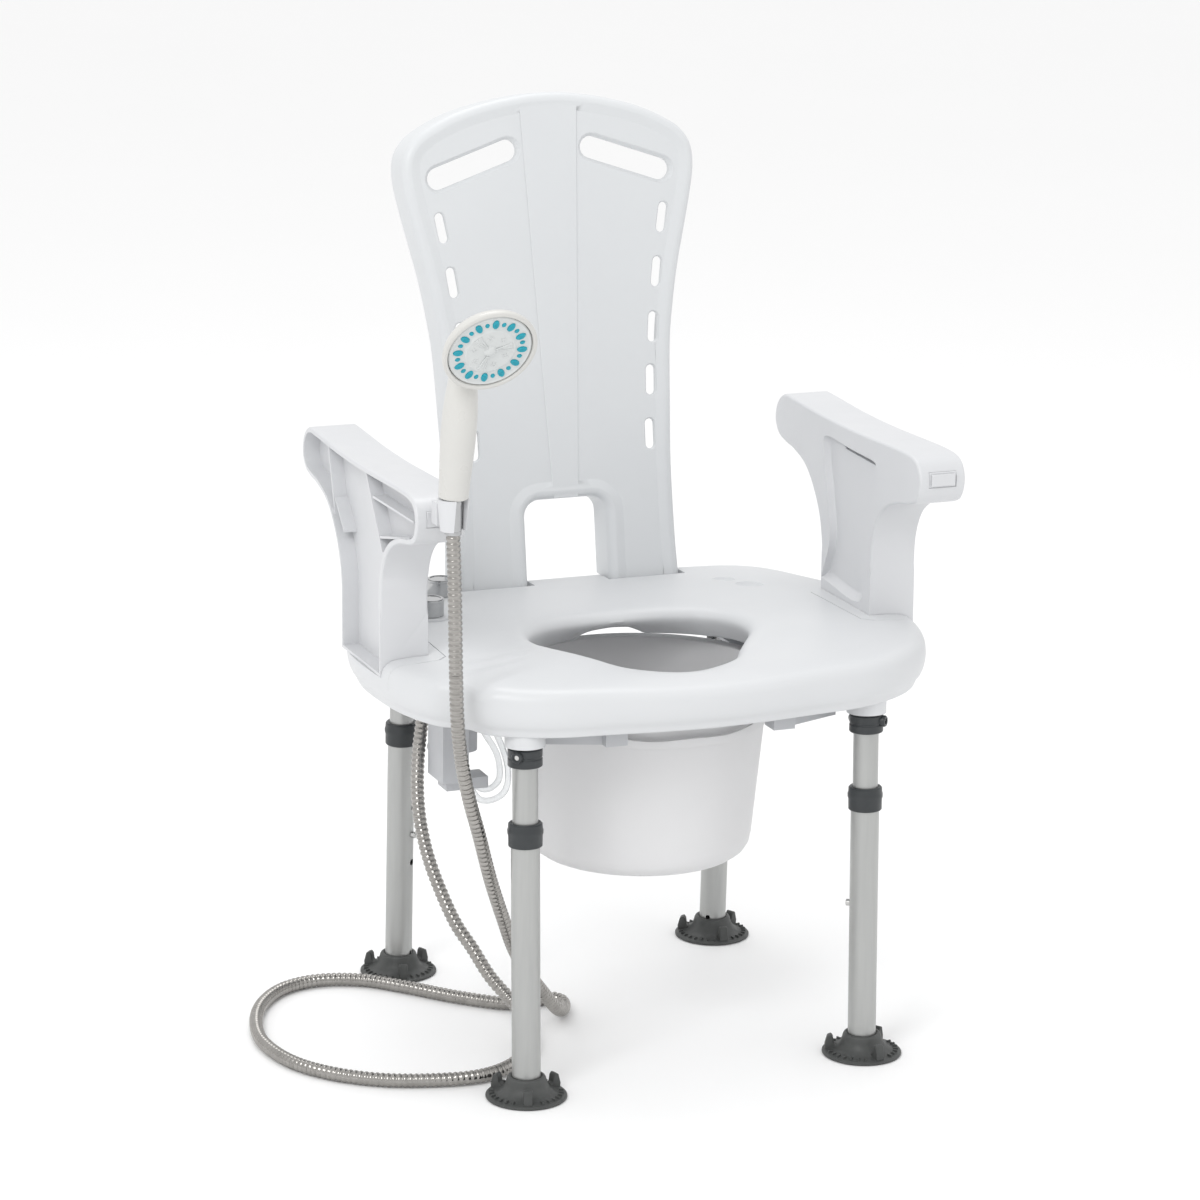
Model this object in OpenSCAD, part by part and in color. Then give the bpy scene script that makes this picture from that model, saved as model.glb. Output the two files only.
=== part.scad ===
// Height-adjustable shower and commode chair, built around the middle of its floor print.
// Front is -Y, the sitter's own left is +X, up is +Z. All sizes in millimetres.

/* [Seat] */
// Half the width of the seat across the side wings
seat_half_width = 292; // [280:1:310]
// How far the front edge lies ahead of the middle of the hole in the seat
seat_front_reach = 210; // [195:1:220]
// Height of the top of the seat deck at the back
seat_top = 423; // [410:1:440]
// Height of the lower edge of the skirt
skirt_bottom = 371; // [362:1:376]
// Wall thickness of the moulded shell
shell_wall = 6; // [4:0.5:8]
// Half the width of the hole in the seat
hole_half_width = 114; // [95:1:125]

/* [Back] */
// Angle that the backrest leans back from upright
back_lean = 9.1; // [4:0.1:14]
// Height of the top edge of the backrest, measured along it
back_length = 518; // [440:2:560]
// Depth of the backrest moulding from front to rear
back_depth = 36; // [28:1:44]
// Wall thickness of the backrest and arms
panel_wall = 4; // [3:0.5:6]

/* [Arms] */
// Distance from the middle to the inner face of an arm
arm_inner = 240; // [232:1:250]
// Width of an arm from inner to outer face
arm_width = 50; // [40:1:56]
// Height of the top of the arms
arm_top = 609; // [570:1:640]

/* [Legs] */
// Half the distance between left and right legs
leg_half_x = 182.5; // [165:0.5:200]
// Half the distance between front and rear feet at the floor
leg_half_y = 194.6; // [175:0.2:210]
// Lean of each leg towards the middle, front to back
leg_lean = 2; // [0:0.1:4]
// Outside diameter of the lower leg tube
lower_tube_d = 28.6; // [25:0.1:32]
// Outside diameter of the upper leg tube
upper_tube_d = 25.4; // [22:0.1:27]
// Wall of the upper tube
upper_wall = 1.5; // [1:0.1:2]
// Spacing of the height holes
hole_pitch = 31; // [25:0.5:34]
// Diameter of the height holes
hole_d = 7.2; // [6:0.1:8]
// Height of the collar's lower edge above the floor
collar_base = 257; // [245:1:265]
// Diameter of the rubber foot at the floor
foot_d = 81; // [70:1:90]

/* [Pail] */
// Radius of the pail just under its flange
pail_radius = 131; // [120:1:133]
// Depth of the pail
pail_depth = 196; // [150:1:210]
// Height of the top of the pail's flange
pail_top = 378; // [376:0.5:380]
// Wall of the pail
pail_wall = 2.5; // [2:0.1:4]

/* [Shower] */
// Diameter of the hose
hose_d = 14; // [12:0.5:16]
// Diameter of the handset's spray head
head_d = 92; // [80:1:100]
// Diameter of the two valve knobs
knob_d = 28; // [24:0.5:32]
// Height of the two valve knobs
knob_height = 17; // [14:0.5:20]

/* [Fits] */
// Radial gap between the two leg tubes
tube_gap = 0.1; // [0.05:0.01:0.1]
// Gap between pieces that slide or lift apart
slide_gap = 0.4; // [0.3:0.05:0.8]
// Radial gap round a turning spindle
spindle_gap = 0.1; // [0.05:0.01:0.1]

/* [Hidden] */

seat_middle_y = -30;
stations = 90;
// Radii of the hole and of the seat's edge, every 15 degrees from the front
hole_radii = [122, 119, 116, 106, 104, 109, 114, 113, 103, 88, 75, 67, 64];
edge_radii = [210, 214, 229, 261, 285, 291, 292, 298, 299, 306, 273, 244, 236];
notch_angle = 61.5;
front_hole_drop = 9;
clip_base = 340;
button_height = collar_base - 100;
knob_front_at = [-190, 74];
knob_rear_at = [-153, 148];
plate_top = seat_top + 2;
arm_base = 404.4;
arm_front = -62;
arm_rear = 58;
handle_foot = [-264, -200, 614.5];
face_middle = [-251, -262, 767];
face_turn = 119;
flange_half = 146;
rail_inner = flange_half + 1;

// Route of the hose, from the handset down to the floor and back up to the valve
hose_top_points = [[-264, -200, 578.5], [-262.5, -199.3, 545], [-261, -198.3, 500],
  [-260, -197, 470], [-259, -196, 440.4]];
hose_points = [[-259, -196, 440], [-256, -192, 395], [-249, -185, 350], [-237, -173, 308], [-220, -157, 262],
  [-201, -138, 209], [-180, -118, 160], [-160, -97, 118], [-137, -75, 84],
  [-110, -50, 50], [-84, -22, 20], [-66, 6, 8], [-58, 30, 7], [-68, 44, 7],
  [-90, 42, 7], [-119, 46, 7], [-158, 80, 7], [-196, 124, 7], [-232, 160, 7],
  [-276, 176, 7], [-318, 166, 7], [-352, 132, 7], [-376, 82, 7], [-388, 20, 7],
  [-378, -42, 7], [-350, -88, 7], [-308, -122, 7], [-260, -140, 7],
  [-215, -146, 7.5], [-178, -132, 8], [-150, -106, 11], [-134, -76, 16],
  [-130, -48, 26], [-139, -24, 40], [-152, -5, 58], [-165, 12, 84], [-180, 28, 112],
  [-196, 48, 161], [-204, 59, 202], [-206, 66, 240], [-203, 72, 280], [-199, 75, 306],
  [-197, 75, 326]];
tube_a_points = [[-152, 40, 249], [-144, 38, 245], [-134, 38, 247], [-127, 37, 258],
  [-129, 41, 281], [-140, 52, 304], [-148, 67, 330], [-157, 73, 353], [-157.5, 86, 376],
  [-158, 106, 389], [-154, 124, 396.5], [-132, 138, 400], [-80, 150, 401], [-40, 149, 400],
  [-9, 147, 398]];
tube_b_points = [[-160, 32, 249], [-152, 29, 238], [-140, 28, 236], [-129, 23, 243],
  [-125.5, 17, 258], [-127, 17, 280], [-130, 38, 302], [-134, 68, 320], [-150, 80, 340],
  [-158, 90, 358], [-158, 104, 373], [-157, 117, 383], [-150, 129, 389], [-133, 134, 391],
  [-110, 140, 392], [-70, 139, 392], [-9, 137, 392]];

function wrap(list, i) = list[min(max(i, 0), len(list) - 1)];
function smooth(a, b, c, d, t) =
  b + 0.5 * t * (c - a + t * (2 * a - 5 * b + 4 * c - d + t * (3 * (b - c) + d - a)));
function radius_at(list, angle) =
  let (turn = angle > 180 ? 360 - angle : angle, s = turn / 15, i = min(floor(s), 11))
  smooth(i == 0 ? list[1] : list[i - 1], list[i], list[i + 1],
    i == 11 ? list[11] : wrap(list, i + 2), s - i);
function notch(angle) = 12 * exp(-pow((angle - notch_angle) / 3.6, 2));
function seat_edge(angle) =
  radius_at(edge_radii, angle) * (1 + (seat_half_width / 292 - 1) * abs(sin(angle)))
  + (seat_front_reach - 210) * max(cos(angle), 0) - notch(angle);
function hole_edge(angle) =
  radius_at(hole_radii, angle) * (1 + (hole_half_width / 114 - 1) * abs(sin(angle)));
function rear_part(angle) = let (t = (abs(angle - 180) - 33) / 8) t < 0 ? 1 : t > 1 ? 0 : 1 - t;
function front_part(angle) = pow(max(cos(angle), 0), 4);
function flare(angle) = let (t = 1 - abs(angle - 180) / 60) t < 0 ? 8 : 8 + 28 * t;
function wall_arch(angle) = let (t = 1 - pow((angle - 180) / 24, 2)) t < 0 ? 0 : 10 * t;
function ring_point(angle, r, z) =
  [-r * sin(angle), seat_middle_y - r * cos(angle), z];
function seat_ring(angle) =
  let (e = seat_edge(angle), h = hole_edge(angle), b = skirt_bottom + 16 * rear_part(angle),
    d = front_hole_drop * front_part(angle), w = shell_wall, f = flare(angle),
    m = (e + h) / 2, u = seat_top, s = min(1, (e - h) / 80), k = u - 33 + wall_arch(angle))
  [ring_point(angle, e - 12, b), ring_point(angle, e - 4, max(b + 4, u - 45)),
    ring_point(angle, e, u - 27), ring_point(angle, e - 5, u - 14 - d / 2),
    ring_point(angle, e - 18 * s, u - 5 - d / 2), ring_point(angle, m, u - d / 2),
    ring_point(angle, h + 14 * s, u - 1.5 - d), ring_point(angle, h + 3, u - 6 - d),
    ring_point(angle, h, u - 12 - d), ring_point(angle, h + f, k - 3 * (d / 9)),
    ring_point(angle, h + f + w + 2, k - 3 * (d / 9)),
    ring_point(angle, h + w + 2 + f * 0.3, u - 14 - d),
    ring_point(angle, h + w + 8 * s + f * 0.4, u - 9 - d),
    ring_point(angle, m, u - 1 - w - d / 2), ring_point(angle, e - w - 16 * s, u - 5 - w - d / 2),
    ring_point(angle, e - 2 - w, u - 27), ring_point(angle, e - 4 - w, max(b + 4, u - 45)),
    ring_point(angle, e - 12 - w, b)];
ring_size = 18;

// Points along a smooth curve, steps points for each span
function curve_points(p, steps) =
  [for (i = [0 : len(p) - 2], k = [0 : steps - 1])
    smooth(i == 0 ? 2 * p[0] - p[1] : p[i - 1], p[i], p[i + 1],
      i == len(p) - 2 ? 2 * p[i + 1] - p[i] : p[i + 2], k / steps),
    p[len(p) - 1]];
function unit(v) = v / norm(v);
function heading(q, i) = unit(q[min(i + 1, len(q) - 1)] - q[max(i - 1, 0)]);
function next_side(side, ahead) = unit(side - (side * ahead) * ahead);
function sides(q, i, side) =
  i >= len(q) ? [] : let (s = next_side(side, heading(q, i))) concat([s], sides(q, i + 1, s));

module tube_along(points, steps, d, edges, first_side) {
  q = curve_points(points, steps);
  s = sides(q, 0, first_side);
  n = len(q);
  polyhedron(
    points = [for (i = [0 : n - 1], k = [0 : edges - 1])
      q[i] + d / 2 * (cos(k * 360 / edges) * s[i]
        + sin(k * 360 / edges) * cross(heading(q, i), s[i]))],
    faces = concat([[for (k = [0 : edges - 1]) edges - 1 - k]],
      [for (i = [0 : n - 2], k = [0 : edges - 1])
        let (a = i * edges + k, b = i * edges + (k + 1) % edges) [a, b, b + edges]],
      [for (i = [0 : n - 2], k = [0 : edges - 1])
        let (a = i * edges + k, b = i * edges + (k + 1) % edges) [a, b + edges, a + edges]],
      [[for (k = [0 : edges - 1]) (n - 1) * edges + k]]));
}

module seat_skin() {
  rings = [for (i = [0 : stations - 1]) seat_ring(i * 360 / stations)];
  polyhedron(
    points = [for (r = rings, p = r) p],
    faces = concat(
      [for (i = [0 : stations - 1], k = [0 : ring_size - 1])
        let (j = (i + 1) % stations, m = (k + 1) % ring_size)
        [i * ring_size + k, j * ring_size + m, i * ring_size + m]],
      [for (i = [0 : stations - 1], k = [0 : ring_size - 1])
        let (j = (i + 1) % stations, m = (k + 1) % ring_size)
        [i * ring_size + k, j * ring_size + k, j * ring_size + m]]));
}

module leg_place(sx, sy) {
  translate([sx * leg_half_x, sy * leg_half_y, 0])
    rotate([sy * leg_lean, 0, 0]) children();
}

module towards_middle(sx, sy) {
  rotate([0, 0, atan2(-sy, -sx)]) rotate([0, 90, 0]) children();
}

module both_sides() {
  children();
  mirror([1, 0, 0]) children();
}

module knob_line() {
  translate([knob_front_at[0], knob_front_at[1], 0])
    rotate([0, 0, atan2(knob_rear_at[1] - knob_front_at[1], knob_rear_at[0] - knob_front_at[0])])
      children();
}
knob_spacing = norm(knob_rear_at - knob_front_at);

module plate_outline(r, z, h) {
  hull() {
    translate([knob_front_at[0], knob_front_at[1], z]) cylinder(r = r, h = h, $fn = 48);
    translate([knob_rear_at[0], knob_rear_at[1], z]) cylinder(r = r, h = h, $fn = 48);
  }
}

module seat_shell() {
  color("white") difference() {
    union() {
      seat_skin();
      for (sx = [-1, 1], sy = [-1, 1])
        leg_place(sx, sy) translate([0, 0, 358]) cylinder(r = 20, h = 56, $fn = 48);
      both_sides() {
        translate([arm_inner - 6, arm_front - 6, 397]) cube([45, arm_rear - arm_front + 12, 18]);
        translate([38, 160, 398]) cube([92, 41, 19]);
      }
      plate_outline(24, 409, 9);
      both_sides() for (y = [-110, 0, 110])
        translate([155, y, 407]) cylinder(r = 6, h = 9, $fn = 32);
    }
    for (sx = [-1, 1], sy = [-1, 1])
      leg_place(sx, sy) translate([0, 0, 350]) cylinder(d = upper_tube_d + 0.2, h = 55, $fn = 48);
    both_sides() {
      translate([arm_inner - slide_gap, arm_front - slide_gap, 404])
        cube([80, arm_rear - arm_front + 2 * slide_gap, 40]);
      translate([249 - slide_gap, -40 - slide_gap, 390])
        cube([24 + 2 * slide_gap, 76 + 2 * slide_gap, 20]);
      translate([42, 162.5, 417.6]) cube([87, 60, 30]);
      translate([56 - slide_gap, 171 - slide_gap, 390])
        cube([58 + 2 * slide_gap, 16 + 2 * slide_gap, 40]);
    }
    plate_outline(20.2, 420, 20);
    for (k = [knob_front_at, knob_rear_at])
      translate([k[0], k[1], 400]) cylinder(r = 4.6, h = 30, $fn = 32);
    for (p = [[157, 123, 18], [174, 95, 22]])
      translate([p[0], p[1], seat_top + 9.2]) scale([1, 0.8, 1]) sphere(r = p[2] / 1.8, $fn = 24);
  }
}

arch_top = 92;
// Half outline of the backrest, as distance from the middle and height along it
back_half = [[126, 0], [124, 45], [123, 120], [125, 180], [128, 250], [133, 290], [140, 330],
  [149, 368], [157, 402], [163, 435], [161, 454], [153, 470], [138, 482], [103, 500],
  [62, 511], [22, 517]];
function back_outline(inset) =
  let (s = back_length / 518)
  concat([[46 + inset, -30], [126 - inset, -30]],
    [for (p = back_half) [p[0] - inset, p[1] * s - (p[1] > 460 ? inset : 0)]],
    [[0, back_length - inset]],
    [[0, arch_top + inset], [31, arch_top + inset], [46 + inset, arch_top - 15]]);

module back_place() {
  translate([0, 168, 418]) rotate([90 - back_lean, 0, 0]) children();
}

module back_half_flat(inset) {
  polygon(back_outline(inset));
}

module hand_slot(r) {
  hull() {
    translate([47, 459]) circle(r = r, $fn = 32);
    translate([124, 433]) circle(r = r, $fn = 32);
  }
}

module drain_slots(r) {
  for (k = [0 : 4])
    translate([[99, 102.5, 107.5, 114.5, 123.5][k], [154, 211, 267, 325, 382][k]])
      rotate([0, 0, [0, -2, -5, -8, -10][k]]) {
        translate([-r, -11]) square([2 * r, 22]);
        translate([0, -11]) circle(r = r, $fn = 24);
        translate([0, 11]) circle(r = r, $fn = 24);
      }
}

module back_walls(depth) {
  difference() {
    translate([0, 0, -depth]) linear_extrude(depth) {
      back_half_flat(0);
      mirror([1, 0]) back_half_flat(0);
    }
    translate([0, 0, -depth - 1]) linear_extrude(depth + 1 - panel_wall) {
      back_half_flat(panel_wall);
      mirror([1, 0]) back_half_flat(panel_wall);
    }
  }
}

module backrest_panel() {
  color("white") {
    difference() {
      back_place() difference() {
        union() {
          back_walls(back_depth);
          both_sides() translate([0, 0, -back_depth + 6])
            linear_extrude(back_depth - 8) hand_slot(13.5);
          translate([-26, 96, -16]) cube([4, 410, 14]);
          translate([22, 96, -16]) cube([4, 410, 14]);
        }
        both_sides() {
          translate([0, 0, -60]) linear_extrude(80) hand_slot(10.5);
          translate([0, 0, -20]) linear_extrude(40) drain_slots(5);
        }
      }
      translate([-200, 100, 380]) cube([400, 200, 38]);
      translate([-200, 205, 380]) cube([400, 100, 60]);
    }
    both_sides() translate([56, 171, 384]) cube([58, 16, 60]);
  }
}

// Side outline of an arm: distance to the rear and height above the arm's base
function arm_side() =
  [[arm_front, 0], [-61, 60], [-63, 96], [-74, 122], [-92, 138], [-118, 148], [-146, 154],
    [-164, 162], [-170, 178], [-167, 192], [-154, 202], [-124, 205], [-60, 203], [0, 201.5],
    [70, 202], [140, 205], [166, 205], [182, 192], [187, 174], [178, 160], [160, 154],
    [136, 153], [106, 139], [80, 116], [64, 88], [58, 55], [arm_rear, 0]];

module arm_profile(inset) {
  offset(delta = -inset)
    polygon([for (p = arm_side()) [p[0], arm_base + p[1] * (arm_top - arm_base) / 205]]);
}

module arm_extrude(x, w, inset) {
  translate([x, 0, 0]) rotate([90, 0, 90]) linear_extrude(w) arm_profile(inset);
}

module arm_solid() {
  difference() {
    arm_extrude(arm_inner, arm_width, 0);
    difference() {
      arm_extrude(arm_inner + panel_wall, arm_width, panel_wall);
      translate([arm_inner, -200, 552]) cube([arm_width - 8, 400, 3]);
      translate([arm_inner, -170, 540]) cube([arm_width - 5, 30, 80]);
      translate([arm_inner, 40, 540]) cube([arm_width - 6, 3, 80]);
      translate([arm_inner, -60, 540]) cube([arm_width - 6, 3, 80]);
      translate([arm_inner, -4, 400]) cube([arm_width - 10, 3, 150]);
      translate([arm_inner, -80, 400]) cube([arm_width - 8, 160, 16]);
      translate([arm_inner, -80, 470]) cube([arm_width - 10, 160, 3]);
    }
  }
  translate([249, -40, 376]) cube([24, 76, 32]);
}

module armrest_right() {
  color("white") difference() {
    arm_solid();
    translate([arm_inner + 10, -175, 575]) cube([30, 18, 20]);
  }
}

module armrest_left() {
  color("white") mirror([1, 0, 0]) difference() {
    arm_solid();
    translate([arm_inner + 10, -175, 575]) cube([30, 18, 20]);
  }
}

module arm_cap() {
  translate([arm_inner + 10.2, -174.6, 575.2]) cube([29.6, 17.4, 19.6]);
}

module arm_cap_right() {
  color("white") arm_cap();
}

module arm_cap_left() {
  color("white") mirror([1, 0, 0]) arm_cap();
}

module accessory_cover() {
  color("white") translate([arm_inner + 12, -179, 578]) cube([26, 4.2, 14]);
}

module handset_holder() {
  color("white") difference() {
    union() {
      translate([handle_foot[0], handle_foot[1], 583]) cylinder(r1 = 12.5, r2 = 15.5, h = 31, $fn = 48);
      translate([-277, -190, 586]) cube([26, 15.2, 22]);
    }
    translate([handle_foot[0], handle_foot[1], 580]) cylinder(r = 9.6, h = 40, $fn = 48);
    translate([handle_foot[0], handle_foot[1], 580]) rotate([0, 0, -68])
      translate([0, -7.6, 0]) cube([30, 15.2, 40]);
  }
}

module upper_tube(sx, sy) {
  color("silver") leg_place(sx, sy) difference() {
    translate([0, 0, 140]) cylinder(d = upper_tube_d, h = 264, $fn = 48);
    translate([0, 0, 130]) cylinder(d = upper_tube_d - 2 * upper_wall, h = 290, $fn = 48);
    translate([0, 0, button_height]) towards_middle(sx, sy) cylinder(d = hole_d, h = 30, $fn = 32);
    translate([0, 0, clip_base + 10]) towards_middle(sx, sy)
      translate([0, 0, -20]) cylinder(d = 5.4, h = 40, $fn = 32);
  }
}

module lower_tube(sx, sy) {
  color("silver") leg_place(sx, sy) difference() {
    translate([0, 0, 10]) cylinder(d = lower_tube_d, h = collar_base + 10, $fn = 48);
    translate([0, 0, 5]) cylinder(d = upper_tube_d + 2 * tube_gap, h = collar_base + 30, $fn = 48);
    for (k = [-1 : 3])
      translate([0, 0, button_height + k * hole_pitch])
        towards_middle(sx, sy) cylinder(d = hole_d, h = 30, $fn = 32);
    translate([0, 0, 24]) towards_middle(sx, sy) cylinder(d = 5, h = 30, $fn = 32);
  }
}

module collar(sx, sy) {
  color("dimgray") leg_place(sx, sy) difference() {
    union() {
      translate([0, 0, collar_base]) cylinder(d = lower_tube_d + 5, h = 24, $fn = 48);
      translate([0, 0, collar_base + 14]) cylinder(d = lower_tube_d + 6, h = 4, $fn = 48);
    }
    translate([0, 0, collar_base - 1]) cylinder(d = lower_tube_d + 0.04, h = 21.1, $fn = 48);
    translate([0, 0, collar_base + 5]) cylinder(d = upper_tube_d + 2 * tube_gap, h = 30, $fn = 48);
  }
}

module clip(sx, sy) {
  color("dimgray") leg_place(sx, sy) difference() {
    union() {
      translate([0, 0, clip_base - 2]) cylinder(d = upper_tube_d + 9, h = 18, $fn = 48);
      translate([0, 0, clip_base + 10]) towards_middle(sx, sy)
        translate([0, 0, -21]) cylinder(d = 11, h = 12, $fn = 32);
    }
    translate([0, 0, clip_base - 5]) cylinder(d = upper_tube_d + 0.06, h = 40, $fn = 48);
    translate([0, 0, clip_base - 5]) rotate([0, 0, atan2(-sy, -sx)])
      translate([5, -5, 0]) cube([30, 10, 40]);
    translate([0, 0, clip_base + 10]) towards_middle(sx, sy)
      translate([0, 0, -22]) cylinder(d = 5.06, h = 30, $fn = 32);
  }
}

module pin(sx, sy) {
  color("lightgray") leg_place(sx, sy) translate([0, 0, clip_base + 10])
    towards_middle(sx, sy) translate([0, 0, -19.5]) cylinder(d = 5, h = 38, $fn = 32);
}

module button(sx, sy) {
  color("lightgray") leg_place(sx, sy) translate([0, 0, button_height])
    towards_middle(sx, sy) {
      translate([0, 0, 6]) cylinder(d = hole_d - 0.2, h = 12.3, $fn = 32);
      translate([0, 0, 18.3 - 2]) sphere(d = hole_d - 0.6, $fn = 24);
    }
}

module foot(sx, sy, first_tab) {
  color("dimgray") translate([sx * leg_half_x, sy * leg_half_y, 0]) difference() {
    union() {
      rotate_extrude($fn = 64) polygon([[0, 4], [24, 3], [foot_d / 2 - 2, 0], [foot_d / 2, 0],
        [foot_d / 2, 2], [foot_d / 2 - 3, 4.5], [30, 10], [24, 13], [20, 17], [18.6, 20], [0, 20]]);
      for (a = [0, 120, 240])
        rotate([0, 0, first_tab + a]) translate([22, -6.5, 7]) rotate([0, 24, 0]) cube([21, 13, 5]);
    }
    rotate([sy * leg_lean, 0, 0]) translate([0, 0, 9.9])
      cylinder(d = lower_tube_d + 0.04, h = 40, $fn = 48);
  }
}

module pail() {
  r = pail_radius;
  color("white") translate([0, seat_middle_y, 0]) difference() {
    union() {
      translate([0, 0, pail_top - pail_depth]) rotate_extrude($fn = 72)
        polygon([[0, 0], [r - 40, 0], [r - 28, 4], [r - 19, 13], [r - 15, 27], [r, pail_depth - 4],
          [r, pail_depth], [0, pail_depth]]);
      intersection() {
        translate([0, 0, pail_top - 4]) cylinder(r = 160, h = 4, $fn = 72);
        translate([-flange_half, -141, pail_top - 5]) cube([2 * flange_half, 282, 10]);
      }
      both_sides() translate([r - 10, -7, 351]) cube([10.4, 14, 14]);
    }
    translate([0, 0, pail_top - pail_depth + pail_wall]) rotate_extrude($fn = 72)
      polygon([[0, 0], [r - 42, 0], [r - 31, 4], [r - 22, 12], [r - 18, 25],
        [r - pail_wall, pail_depth - 6], [r - pail_wall, pail_depth + 9], [0, pail_depth + 9]]);
    translate([-r - 20, 0, 358]) rotate([0, 90, 0]) cylinder(d = 4.2, h = 2 * r + 40, $fn = 32);
  }
}

module pail_bail() {
  color("white") translate([0, seat_middle_y, 358]) rotate([8, 0, 0]) {
    difference() {
      translate([0, 0, -6]) cylinder(r = pail_radius + 8.5, h = 11, $fn = 72);
      translate([0, 0, -10]) cylinder(r = pail_radius + 5.5, h = 30, $fn = 72);
      translate([-200, 6, -10]) cube([400, 200, 30]);
    }
    both_sides() rotate([0, 90, 0]) translate([0, 0, pail_radius - 2]) cylinder(d = 4, h = 10, $fn = 32);
  }
}

module pail_rail_right() {
  color("gainsboro") {
    translate([rail_inner, -150, 366]) cube([4, 270, 41]);
    translate([134, -150, 370.2]) cube([rail_inner - 132, 270, 3.4]);
    translate([rail_inner, -150, 403]) cube([14, 270, 4]);
    translate([0, 0, 350]) linear_extrude(14) polygon([[78, -190], [101, -190], [101, -180],
      [160, -158], [160, -149], [101, -168], [78, -168]]);
    translate([rail_inner, -158, 360]) cube([8, 12, 10]);
  }
}

module pail_rail_left() {
  mirror([1, 0, 0]) pail_rail_right();
}

module rail_screws() {
  color("silver") both_sides() for (y = [-110, 0, 110])
    translate([155, y, 400]) cylinder(d = 7, h = 3, $fn = 32);
}

module valve_body() {
  color("white") difference() {
    union() {
      knob_line() translate([0, 0, 386]) rotate([0, 90, 0])
        cylinder(r = 7, h = knob_spacing, $fn = 32);
      for (k = [knob_front_at, knob_rear_at])
        translate([k[0], k[1], pail_top + 1.5]) cylinder(r = 12, h = 409 - pail_top - 1.5, $fn = 48);
      translate([-197, 14, 262]) cube([28, 46, 120]);
      translate([-170, 35, 292]) cylinder(r = 16.5, h = 90, $fn = 48);
      translate([-190, 22, 252]) cube([45, 27, 12]);
      translate([-190, 40, 340]) cube([24, 30, 46]);
      translate([-197, 75, 338]) cylinder(r = 10.5, h = 40, $fn = 48);
      translate([-182, 76, 285]) rotate([90, 0, 0]) cylinder(r = 10.3, h = 30, $fn = 48);
    }
    for (k = [knob_front_at, knob_rear_at])
      translate([k[0], k[1], pail_top + 4.5]) cylinder(d = 8 + 2 * spindle_gap, h = 60, $fn = 32);
    translate([-197, 75, 330]) cylinder(r = 6, h = 30, $fn = 32);
  }
}

module valve_plate() {
  color("white") difference() {
    plate_outline(20, 420.1, plate_top - 420.1);
    for (k = [knob_front_at, knob_rear_at])
      translate([k[0], k[1], 400]) cylinder(d = 8 + 2 * spindle_gap, h = 60, $fn = 32);
  }
}

module knob(at) {
  color("silver") translate([at[0], at[1], plate_top + 0.4]) difference() {
    union() {
      cylinder(d = knob_d, h = knob_height, $fn = 64);
      translate([0, 0, pail_top + 5 - plate_top]) cylinder(d = 8, h = plate_top - pail_top, $fn = 32);
    }
    for (a = [0 : 20 : 340])
      rotate([0, 0, a]) translate([knob_d / 2 + 0.4, 0, 2.5])
        cylinder(r = 1.1, h = knob_height - 6, $fn = 16);
    translate([0, 0, knob_height - 1]) cylinder(d = knob_d - 8, h = 2, $fn = 48);
  }
}

module bidet_nozzle() {
  color("dimgray") {
    translate([0, 156, 395]) rotate([90, 0, 0]) cylinder(r = 5, h = 58, $fn = 32);
    translate([0, 98, 395]) sphere(r = 5, $fn = 24);
    translate([-8, 132, 389.5]) cube([16, 24, 24]);
  }
}

module hose_nut_valve() {
  color("silver") translate([-197, 75, 318]) difference() {
    cylinder(d = 21, h = 19.5, $fn = 12);
    translate([0, 0, -1]) cylinder(d = 15, h = 12, $fn = 32);
  }
}

module hose_nut_handset() {
  color("silver") translate([handle_foot[0], handle_foot[1], 579]) difference() {
    cylinder(d1 = 15.6, d2 = 18, h = 35, $fn = 48);
    translate([0, 0, -1]) cylinder(d = 14.6, h = 6, $fn = 32);
  }
}

module handset_body() {
  color("ghostwhite") {
    difference() {
      translate(handle_foot) rotate([6, 2.2, 0]) rotate_extrude($fn = 48)
        polygon([[0, 1], [14.4, 1], [14.8, 14], [16.6, 52], [16.8, 82], [15, 106], [12, 130], [0, 130]]);
      translate([-300, -260, 590]) cube([80, 120, 24.8]);
    }
    hull() {
      translate([-260, -213, 738]) sphere(r = 11.5, $fn = 32);
      translate(face_middle) rotate([face_turn, 0, 0]) translate([0, 0, -19])
        cylinder(r = 26, h = 4, $fn = 32);
    }
    translate(face_middle) rotate([face_turn, 0, 0]) translate([0, 0, -16]) difference() {
      rotate_extrude($fn = 72) polygon([[0, -4], [26, -4], [38, 0], [44, 6], [head_d / 2, 12],
        [head_d / 2 - 1, 15.5], [head_d / 2 - 4, 16], [0, 16]]);
      translate([0, 0, 12]) cylinder(r = head_d / 2 - 5, h = 10, $fn = 64);
      cylinder(r = 3 + spindle_gap, h = 20, $fn = 32);
    }
  }
}

module spray_face() {
  color("whitesmoke") translate(face_middle) rotate([face_turn, 0, 0]) {
    translate([0, 0, -3.5]) cylinder(r = head_d / 2 - 5.4, h = 3.5, $fn = 64);
    translate([0, 0, -14]) cylinder(r = 3, h = 12, $fn = 32);
    cylinder(r = 23, h = 0.8, $fn = 48);
    cylinder(r = 4, h = 2.4, $fn = 32);
  }
}

module spray_jets() {
  color("teal") translate(face_middle) rotate([face_turn, 0, 0]) for (k = [0 : 11])
    rotate([0, 0, k * 30]) {
      translate([31.5, 0, 0]) scale([1.7, 1, 1]) cylinder(r = 2.4, h = 1.4, $fn = 24);
      rotate([0, 0, 15]) translate([31.5, 0, 0]) cylinder(r = 1.7, h = 1.2, $fn = 24);
    }
}

module hose_lower() {
  color("silver") tube_along(hose_points, 2, hose_d, 10, [0, 1, 0.02]);
}

module hose_upper() {
  color("silver") tube_along(hose_top_points, 2, hose_d, 10, [0, 1, 0.02]);
}

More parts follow.
